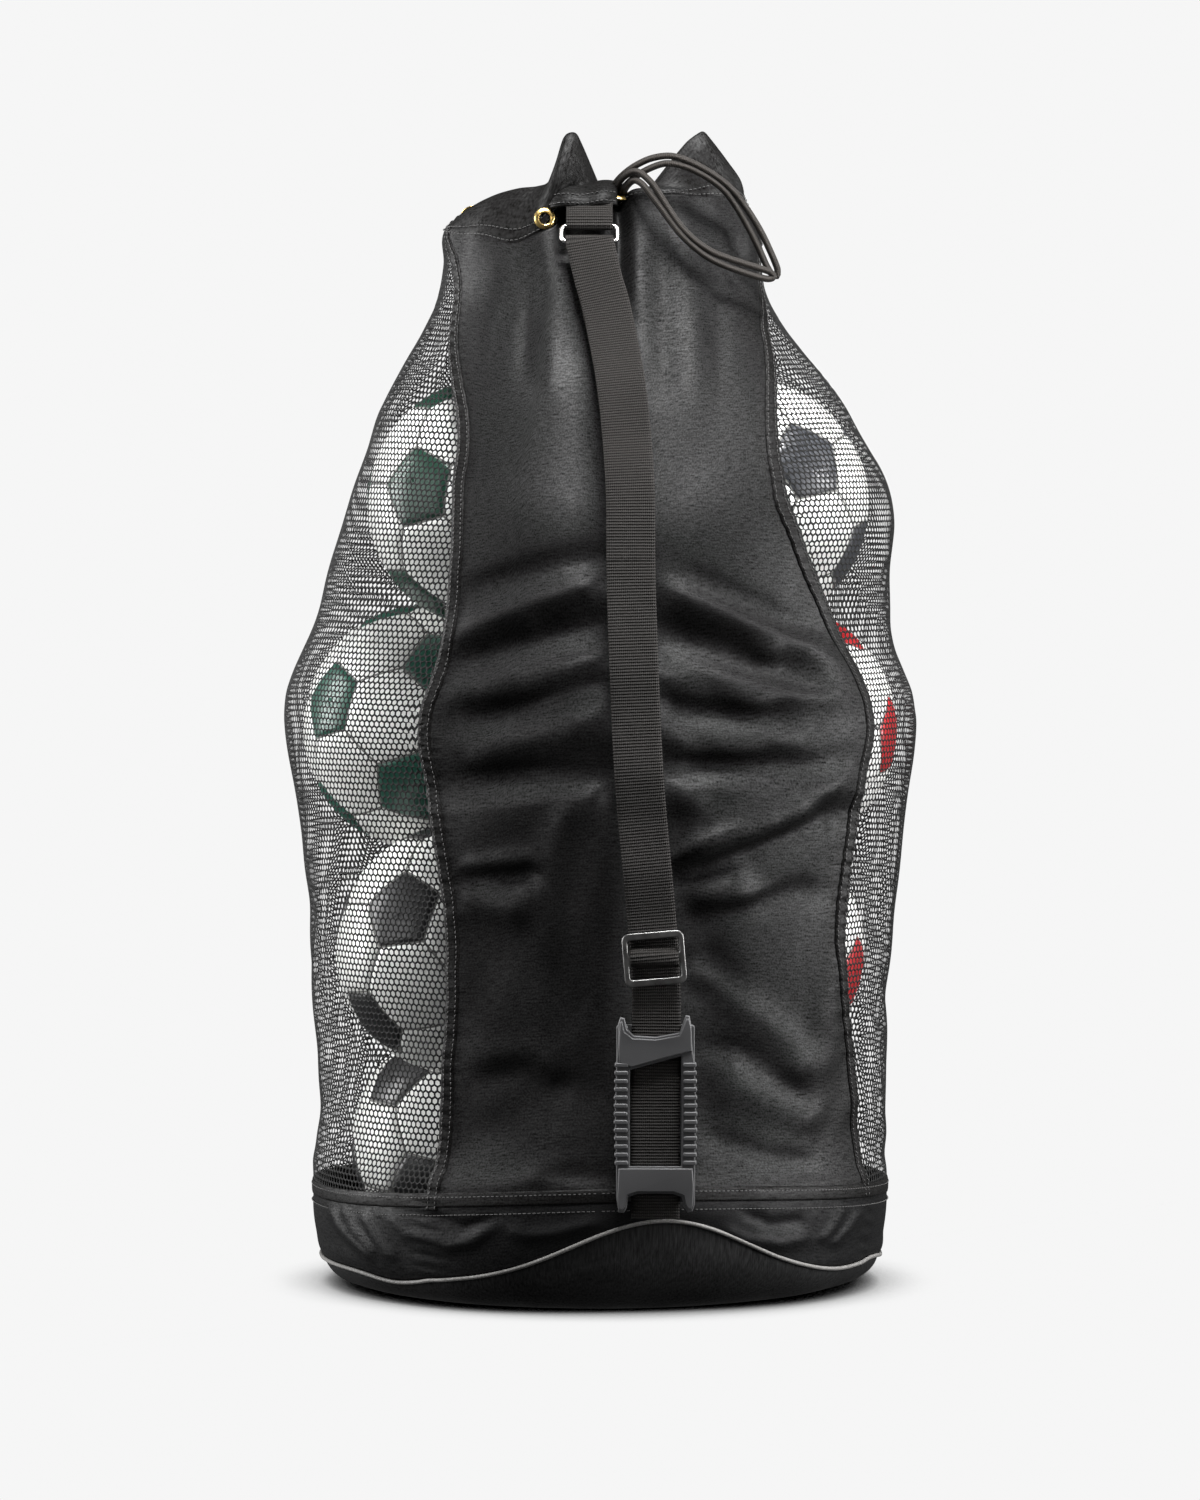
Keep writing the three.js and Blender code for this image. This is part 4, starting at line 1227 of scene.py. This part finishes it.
def pull_loop(level, points, gap):
    """A doubled cord that ends in a tight hairpin."""
    line = spline(points, 60)
    _, side, _ = frames(line, TOWARDS_CAMERA)
    half = gap / 2 * (1 + 0.25 * np.sin(np.linspace(0, 9, 60)))[:, None]
    half[-1] *= 0
    half[-2] *= 0.75
    go, back = line + side * half, (line - side * half)[::-1]
    path = spline(np.concatenate([go[:-1:4], go[-2:-1], line[-1:], back[1:2], back[2::4]]), 260)
    loop = swept_piece("pull_cord_" + level, path, circle(2.9), np.arange(12) * 1000 * math.pi / 6,
                       CORD, None, ["pull_loop_" + level], "cord")
    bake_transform(loop)


def drawcord_piece():
    """The drawcord inside the hem, which shows only between the eyelets."""
    angle = np.arange(480) * 0.75
    path = collar_point(angle, 0.5 + 0.02 * np.sin(angle * DEG * 4))
    path = path * np.array([0.955, 0.955, 1]) - np.array([-0.7, 0.6, 4])
    swept_piece("drawcord_ring", path, circle(2.1, 10), np.arange(10) * 200 * math.pi, CORD,
                "bag", ["drawcord"], "cord", up=(0, 0, 1), closed=True)


def ribbon(name, path, width, thick, body, nodes):
    """Flat webbing along a path, with softly rounded edges."""
    w, t = width / 2, thick / 2
    across = np.linspace(-1, 1, 13)
    belly = t * (1 - 0.55 * np.abs(across) ** 8)
    section = np.stack([across * w, belly], -1)
    section = np.concatenate([section, section[::-1] * np.array([1, -1])])
    return swept_piece(name, path, section, section[:, 0], WEBBING, body, nodes, "webbing",
                       up=strap_normals(path))


# ---- Shoulder strap and fittings ----

WEB_WIDTH, WEB_THICK = 41.0, 1.7
LAYERS = 2.7
INNER = [
    (46.5, -246.2, 83), (46.5, -249, 92), (46.5, -254, 190), (46.5, -259, 290), (33, -266, 450),
    (29, -263, 530), (26, -250, 620), (25, -227, 700), (18, -181, 780), (5, -129, 850),
    (-4, -112, 882),
]
RING_TOP = np.array([-9, -93, 921.0])
RING_DOWN = np.array([0, -math.sin(26 * DEG), -math.cos(26 * DEG)])
RING_HEIGHT = 15
RING_LOW = RING_TOP + RING_DOWN * RING_HEIGHT
RING_WIRE = 3.5
TURN_RADIUS = 4.6
SLIDER_LEVEL = 318  # where the return leg leaves the slider
SPLIT_LEVEL, SPLIT_LAP = 636, 2  # where its lower part begins, lapped a little


def strap_normals(path):
    return unit(np.cross([1.0, 0, 0], np.gradient(path, axis=0)))


def turn_points(bar, up, radius):
    """Half a circle round a bar: in through the bag side, over by up, and out on the near side."""
    up = unit(np.array(up))
    inward = np.array([0, up[2], -up[1]]) * (1 if up[2] > 0 else -1)
    a = np.linspace(0, math.pi, 9)[:, None]
    return bar + radius * (np.cos(a) * inward + np.sin(a) * up)


def strap_pieces():
    """The strap from its sewn end up round the ring, and its return leg down to the slider. The
    leg stands off the strap where the two bulge apart. Its lower part is a piece of its own, on the
    strap's body."""
    inner = spline(INNER, 420)
    tall = inner[:, 2]
    wave = 1.3 + 0.8 * np.sin(tall / 17 + 1.3 * np.sin(tall / 41)) + 0.2 * np.sin(tall / 7)
    wave += 4.2 * bell(tall - 368, 28) + 3.2 * bell(tall - 452, 26) + 1.8 * bell(tall - 540, 40)
    outer = inner + strap_normals(inner) * (LAYERS + wave * smooth((tall - 330) / 60))[:, None]
    keep = outer[outer[:, 2] > SLIDER_LEVEL]
    turn = turn_points(RING_LOW, (0, 0.46, 0.89), TURN_RADIUS)
    split = keep[keep[:, 2] >= SPLIT_LEVEL - SPLIT_LAP]
    path = spline(np.concatenate([inner[::14], turn, split[::-1][4::14], split[:1]]), 760)
    web = ribbon("strap_webbing", path, WEB_WIDTH, WEB_THICK, None,
                 ["strap_web", "strap_anchor", "strap_turn"])
    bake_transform(web)
    low_part = keep[keep[:, 2] <= SPLIT_LEVEL + SPLIT_LAP]
    lower = spline(np.concatenate([low_part[:-6:10], low_part[-1:]]), 200)
    back = ribbon("strap_return_webbing", lower, WEB_WIDTH, WEB_THICK, "strap", ["strap_return"])
    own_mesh(back)


def tab_piece():
    """The tab that holds the ring, sewn to the collar."""
    turn = turn_points(RING_TOP, (0, -0.47, -0.88), 2.9)
    low_in = np.array([[-9, -63.0, 953], [-9, -71, 948], [-9, -77.5, 941], [-9, -85, 930]])
    low_out = np.array([[-9, -92.5, 930], [-9, -81.5, 941], [-9, -75, 948], [-9, -66.5, 953.5]])
    path = spline(np.concatenate([low_in, turn, low_out]), 90)
    ribbon("ring_tab", path, WEB_WIDTH - 1, WEB_THICK, "bag", ["strap_tab"])


def ring_piece():
    """A rounded rectangle of plated wire."""
    outline = np.array(rounded(47.6, RING_HEIGHT, 4, steps=9))
    centre = (RING_TOP + RING_LOW) / 2
    path = centre + outline[:, :1] * np.array([1.0, 0, 0]) - outline[:, 1:] * RING_DOWN
    section = circle(RING_WIRE / 2, 14)
    points, faces = tube(path, section, np.cross([1.0, 0, 0], -RING_DOWN), closed=True)
    piece("ring_wire", points, faces, RING_STEEL, "ring", ["strap_ring"], slot="ring_steel")


def local_frame(start, end, rise, out):
    """Origin and axes (across, along, out) on a straight run of the strap."""
    along = unit(end - start)
    across = unit(np.array([1.0, 0, 0]) - along * along[0])
    normal = np.cross(across, along)
    return start + along * rise + normal * out, np.stack([across, along, normal])


def rounded(width, height, radius, x=0.0, y=0.0, steps=6):
    points = []
    for cx, cy, start in ((1, 1, 0), (-1, 1, 90), (-1, -1, 180), (1, -1, 270)):
        for a in np.linspace(start, start + 90, steps):
            points.append((x + cx * (width / 2 - radius) + radius * math.cos(a * DEG),
                           y + cy * (height / 2 - radius) + radius * math.sin(a * DEG)))
    return points


def plate(outlines, low, high, bevel, place):
    """Points and quads or triangles of a bevelled plate with holes, between two heights."""
    curve = bpy.data.curves.new("plate", "CURVE")
    curve.dimensions = "2D"
    curve.fill_mode = "BOTH"
    for outline in outlines:
        line = curve.splines.new("POLY")
        line.points.add(len(outline) - 1)
        for point, (x, y) in zip(line.points, outline):
            point.co = (x, y, 0, 1)
        line.use_cyclic_u = True
    curve.extrude = (high - low) / 2 - bevel
    curve.bevel_depth = bevel
    curve.bevel_resolution = 2
    curve.offset = -bevel
    holder = linked("plate", curve)
    mesh = bpy.data.meshes.new_from_object(holder)
    bpy.data.objects.remove(holder)
    origin, axes = place
    co = np.array([v.co for v in mesh.vertices], float).reshape(-1, 3)
    co[:, 2] += (high + low) / 2
    points = origin + co @ axes
    mesh.calc_loop_triangles()
    faces = np.array([t.vertices for t in mesh.loop_triangles])
    bpy.data.meshes.remove(mesh)
    return points, faces


SHARP_ANGLE = 38 * DEG


def slider_pieces():
    knee, upper = (np.array(INNER[i], float) for i in (3, 4))
    place = local_frame(knee, upper, 14, 6.8)
    slots = [rounded(43, 13.6, 2.2, y=y) for y in (-9.9, 9.9)]
    points, faces = plate([rounded(52, 45, 6.5), *slots], -1.9, 1.9, 0.9, place)
    frame_piece = piece("tri_glide_frame", points, faces, SLIDE_STEEL, "adjuster", ["tri_glide"],
                        slot="slide_steel")
    frame_piece.data.set_sharp_from_angle(angle=SHARP_ANGLE)
    origin, axes = place
    y, z = 4.6, 3.1
    flat = np.array([(0, -7.4, -3.0), (0, -5.6, -0.6), (0, -y, 1.6), (0, -2.2, z), (0, 2.2, z),
                     (0, y, 1.8), (0, 6.4, -0.4), (0, 8.6, -2.4)])
    path = spline(origin + flat @ axes, 40)
    ribbon("tri_glide_roll", path, WEB_WIDTH - 0.5, 1.9, "adjuster", ["strap_roll"])


def grip_piece():
    """The moulded grip: a frame with a window, a raised yoke at each end and ribs on its sides."""
    start, knee = (np.array(INNER[i], float) for i in (1, 3))
    place = local_frame(start, knee, 80.5, 0)
    outline = [
        (-31, -83), (-26.5, -83.5), (-24, -79), (-23, -70), (-15, -67.5), (0, -67), (15, -67.5),
        (22, -70), (24, -78), (27, -83), (31, -82), (33, -76), (33.2, -40), (34, 0), (33, 40),
        (30.5, 60), (30, 74), (28.5, 83), (25, 83.5), (22.5, 76), (20, 69), (0, 65.5), (-18, 66.5),
        (-24, 72), (-26, 81), (-29.5, 82), (-31.5, 76), (-31.5, 60), (-33, 40), (-34, 0),
        (-33, -40), (-33, -70),
    ]
    window = [(-21.5, -44), (21.5, -44), (21.8, 0), (21.5, 49), (10, 46), (-21.5, 37.5), (-21.8, 0)]
    parts = [plate([outline, window], 1.6, 6.2, 1.1, place)]
    top = [(-31, 58), (-30.5, 44), (-20, 40), (10, 48.5), (30, 54), (30, 72), (28, 81), (25.5, 81),
           (23, 74), (20, 67), (0, 63.5), (-19, 64.5), (-26, 70), (-28, 79), (-30, 78)]
    low = [(-31, -45.5), (31, -45.5), (32, -60), (31.5, -76), (30, -80), (27.5, -80), (25, -76),
           (23.5, -68.5), (15, -65.5), (-15, -65.5), (-23.5, -68), (-25.5, -78), (-28, -81),
           (-31, -80), (-32, -70)]
    for facet in (top, low):
        parts.append(plate([facet], 5.2, 7.8, 1.0, place))
    for side in (-1, 1):
        parts.append(plate([rounded(9.5, 150, 2.5, x=side * 28.0)], -3.0, 2.4, 0.8, place))
        for i in range(13):
            y = (i - 6) * 6.9 + 0.5
            wide = 11.5 - 0.025 * abs(i - 6)
            x = side * (29.2 - 0.02 * (i - 6) ** 2)
            parts.append(plate([rounded(wide, 3.9, 1.5, x=x, y=y, steps=4)], 0.0, 7.9, 0.9, place))
    parts.append(plate([rounded(62, 150, 5)], -3.6, -1.6, 0.6, place))
    points, faces = merged(parts)
    grip = piece("grip_body", points, faces, GRIP, "grip", ["shoulder_grip"], slot="grip_plastic")
    grip.data.set_sharp_from_angle(angle=SHARP_ANGLE)


# ---- Footballs ----


GOLDEN = (1 + math.sqrt(5)) / 2


def ball_panels():
    """Corners of a ball's twelve five-sided and twenty six-sided panels."""
    signs = [(a, b * GOLDEN) for a in (1, -1) for b in (1, -1)]
    corners = np.array([(0, a, b) for a, b in signs] + [(a, b, 0) for a, b in signs]
                       + [(b, 0, a) for a, b in signs], float)
    near = [[j for j in range(12) if j != i and np.linalg.norm(corners[i] - corners[j]) < 2.1]
            for i in range(12)]
    polygons = []
    for i in range(12):
        polygons.append([corners[i] + (corners[j] - corners[i]) / 3 for j in near[i]])
    for i in range(12):
        for j in near[i]:
            for k in near[j]:
                if i < j < k and k in near[i]:
                    trio = [corners[i], corners[j], corners[k]]
                    polygons.append([a + (b - a) / 3 for a in trio for b in trio if a is not b])
    return [np.array(polygon) for polygon in polygons]


def football():
    """Points, faces and colours of a stitched ball of radius 1, its panels sunk at their edges."""
    levels = np.array([0, 0.03, 0.075, 0.15, 0.28, 0.45, 0.65, 0.88])
    depth = np.array([-0.013, -0.0115, -0.002, 0.0015, 0.003, 0.004, 0.0045, 0.0045])
    points, faces, slots, start = [], [], [], 0
    for index, ring in enumerate(ball_panels()):
        centre = ring.mean(0)
        axis = unit(centre)
        side = unit(np.cross(axis, ring[0] - centre))
        other = np.cross(side, axis)
        order = np.argsort(np.arctan2((ring - centre) @ side, (ring - centre) @ other))
        ring = ring[order]
        share = (np.arange(7) / 7)[:, None]
        edge = np.concatenate([ring[i] + (ring[(i + 1) % len(ring)] - ring[i]) * share
                               for i in range(len(ring))])
        grid = unit(edge + (centre - edge) * levels[:, None, None])
        grid *= (1 + depth)[:, None, None]
        columns = len(edge)
        cap = end_cap((len(levels) - 1) * columns, columns)
        quads = np.concatenate([grid_faces(len(levels), columns, True), cap])
        colour = np.full(len(quads), 1 if index < 12 else 0)
        colour[:columns] = 2
        points.append(grid.reshape(-1, 3))
        faces.append(quads + start)
        slots.append(colour)
        start += grid.shape[0] * columns
    return np.concatenate(points), np.concatenate(faces), np.concatenate(slots)


# (colour, direction that one five-sided panel faces, direction of the next one)
BALL_LOOKS = {
    "ball_01": ("black", (-0.97, 0.0, -0.24), (-0.3, -0.5, 0.8)),
    "ball_02": ("black", (0.95, -0.2, 0.2), (0.3, -0.9, 0.2)),
    "ball_03": ("grey", (0.3, -0.9, 0.2), (0.3, 0, 0.9)),
    "ball_04": ("black", (-0.47, -0.80, 0.38), (-0.70, -0.39, -0.60)),
    "ball_05": ("red", (0.93, -0.30, -0.22), (0.8, -0.25, 0.55)),
    "ball_06": ("green", (0.1, 0.9, 0.2), (0.8, 0.3, 0.2)),
    "ball_07": ("teal", (-0.79, -0.56, 0.25), (-0.16, -0.89, -0.41)),
    "ball_08": ("red", (0.97, -0.22, -0.07), (0.62, -0.2, 0.76)),
    "ball_09": ("black", (0.0, -0.9, 0.3), (0.8, -0.2, 0.2)),
    "ball_10": ("green", (-0.594, -0.79, 0.14), (-0.38, -0.2, 0.87)),
    "ball_11": ("grey", (0.505, -0.786, 0.354), (0.85, -0.05, -0.52)),
}


def rotation_to(source, target, second):
    """Rotation that takes a panel's direction to the target, and a next one close to the second."""
    def basis(v, w):
        v = unit(np.array(v, float))
        a = unit(np.cross(v, w))
        return np.stack([v, a, np.cross(v, a)], 1)

    neighbour = np.array([0, -1, GOLDEN])
    return basis(target, second) @ basis(source, neighbour).T


def ball_pieces():
    points, faces, slots = football()
    first = np.array([0, 1, GOLDEN])
    for name, x, y, z in BALLS:
        colour, target, second = BALL_LOOKS[name]
        turned = points @ rotation_to(first, target, second).T
        piece("foot" + name, turned * BALL_RADIUS * 0.995 + np.array([x, y, z]), faces,
              [BALL_WHITE, BALL_COLOURS[colour], BALL_SEAM], "bag", [name], slots=slots,
              slot="ball")


# ---- Studio ----

BACKDROP = 0.921  # how bright floor and background are to the camera
DIM_BACKDROP = 0.12  # how much light they give the bag
AIM_HEIGHT = 466
# (name, place, height aimed at on the bag's axis, width, height, watts)
SOFTBOXES = [
    ("left_box", (-2.5, 0.5, 1.0), 0.5, 1.0, 2.0, 150),
    ("right_box", (2.5, -0.45, 0.8), 0.4, 0.8, 1.8, 150),
    ("top_box", (0.45, -1.15, 3.05), 0.75, 1.4, 0.7, 300),
    ("front_left", (-3.3, -2.0, 1.1), 0.45, 1.8, 2.2, 75),
    ("front_right", (3.3, -2.2, 1.1), 0.45, 1.8, 2.0, 28),
]


def backdrop_strength(tree, strength, shown):
    """Sets a strength to what is shown to the camera, and to a dim value for all other rays."""
    ray = tree.nodes.new("ShaderNodeLightPath")
    pick = tree.nodes.new("ShaderNodeMix")
    pick.data_type = "FLOAT"
    pick.inputs["A"].default_value = DIM_BACKDROP
    pick.inputs["B"].default_value = BACKDROP
    tree.links.new(ray.outputs["Is Camera Ray"], pick.inputs["Factor"])
    if shown:
        tree.links.new(shown, pick.inputs["B"])
    tree.links.new(pick.outputs["Result"], strength)


def floor():
    """A pale glowing floor, with a contact shadow painted into its glow close to the bag from
    ambient occlusion.
    """
    material = bpy.data.materials.new("floor")
    material.use_nodes = True
    tree = material.node_tree
    tree.nodes.clear()
    output, glow, near, painted_shadow = (tree.nodes.new("ShaderNode" + kind) for kind in (
        "OutputMaterial", "Emission", "AmbientOcclusion", "MapRange"))
    near.inputs["Distance"].default_value = 0.09
    near.samples = 8
    painted_shadow.interpolation_type = "SMOOTHSTEP"
    for socket, value in zip(painted_shadow.inputs[1:5], (0.12, 0.8, 0.0, BACKDROP)):
        socket.default_value = value
    # The occlusion darkens the floor's glow near the bag: a painted contact shadow.
    tree.links.new(near.outputs["AO"], painted_shadow.inputs[0])
    backdrop_strength(tree, glow.inputs["Strength"], painted_shadow.outputs[0])
    tree.links.new(glow.outputs[0], output.inputs["Surface"])
    mesh = bpy.data.meshes.new("floor")
    corners = [(x * 60.0, y * 60.0, -0.0005) for x, y in ((-1, -1), (1, -1), (1, 1), (-1, 1))]
    mesh.from_pydata(corners, [], [(0, 1, 2, 3)])
    mesh.materials.append(material)
    linked("floor", mesh)


def world():
    made = bpy.data.worlds.new("studio")
    bpy.context.scene.world = made
    made.use_nodes = True
    back = made.node_tree.nodes["Background"]
    back.inputs["Color"].default_value = (1, 1, 1, 1)
    backdrop_strength(made.node_tree, back.inputs["Strength"], None)


def softbox(name, location, aim, width, height, power):
    light = bpy.data.lights.new(name, "AREA")
    light.shape = "RECTANGLE"
    light.size, light.size_y, light.energy = width, height, power
    obj = linked(name, light)
    obj.location = location
    toward = Vector((0, 0, aim)) - Vector(location)
    obj.rotation_euler = toward.to_track_quat("-Z", "Y").to_euler()
    obj.visible_camera = False


def camera():
    lens = bpy.data.cameras.new("camera")
    lens.lens = 143.64
    lens.sensor_width = 36
    eye = linked("camera", lens)
    eye.location = (0, -EYE_DISTANCE * MM, EYE_HEIGHT * MM)
    tilt = math.atan2(EYE_HEIGHT - AIM_HEIGHT, EYE_DISTANCE)
    eye.rotation_euler = (math.pi / 2 - tilt, 0, 0)
    bpy.context.scene.camera = eye
    bpy.context.scene.view_settings.view_transform = "Standard"


# ---- The whole scene ----

band_piece()
foot_piece()
base_trim()
shell_pieces()
collar_pieces()
hem_flap()
eyelet_pieces()
strap_pieces()
tab_piece()
ring_piece()
slider_pieces()
grip_piece()
ball_pieces()
pull_loop("upper", UPPER_CORD, 6.5)
pull_loop("lower", LOWER_CORD, 6.0)
drawcord_piece()
floor()
world()
for box in SOFTBOXES:
    softbox(*box)
camera()
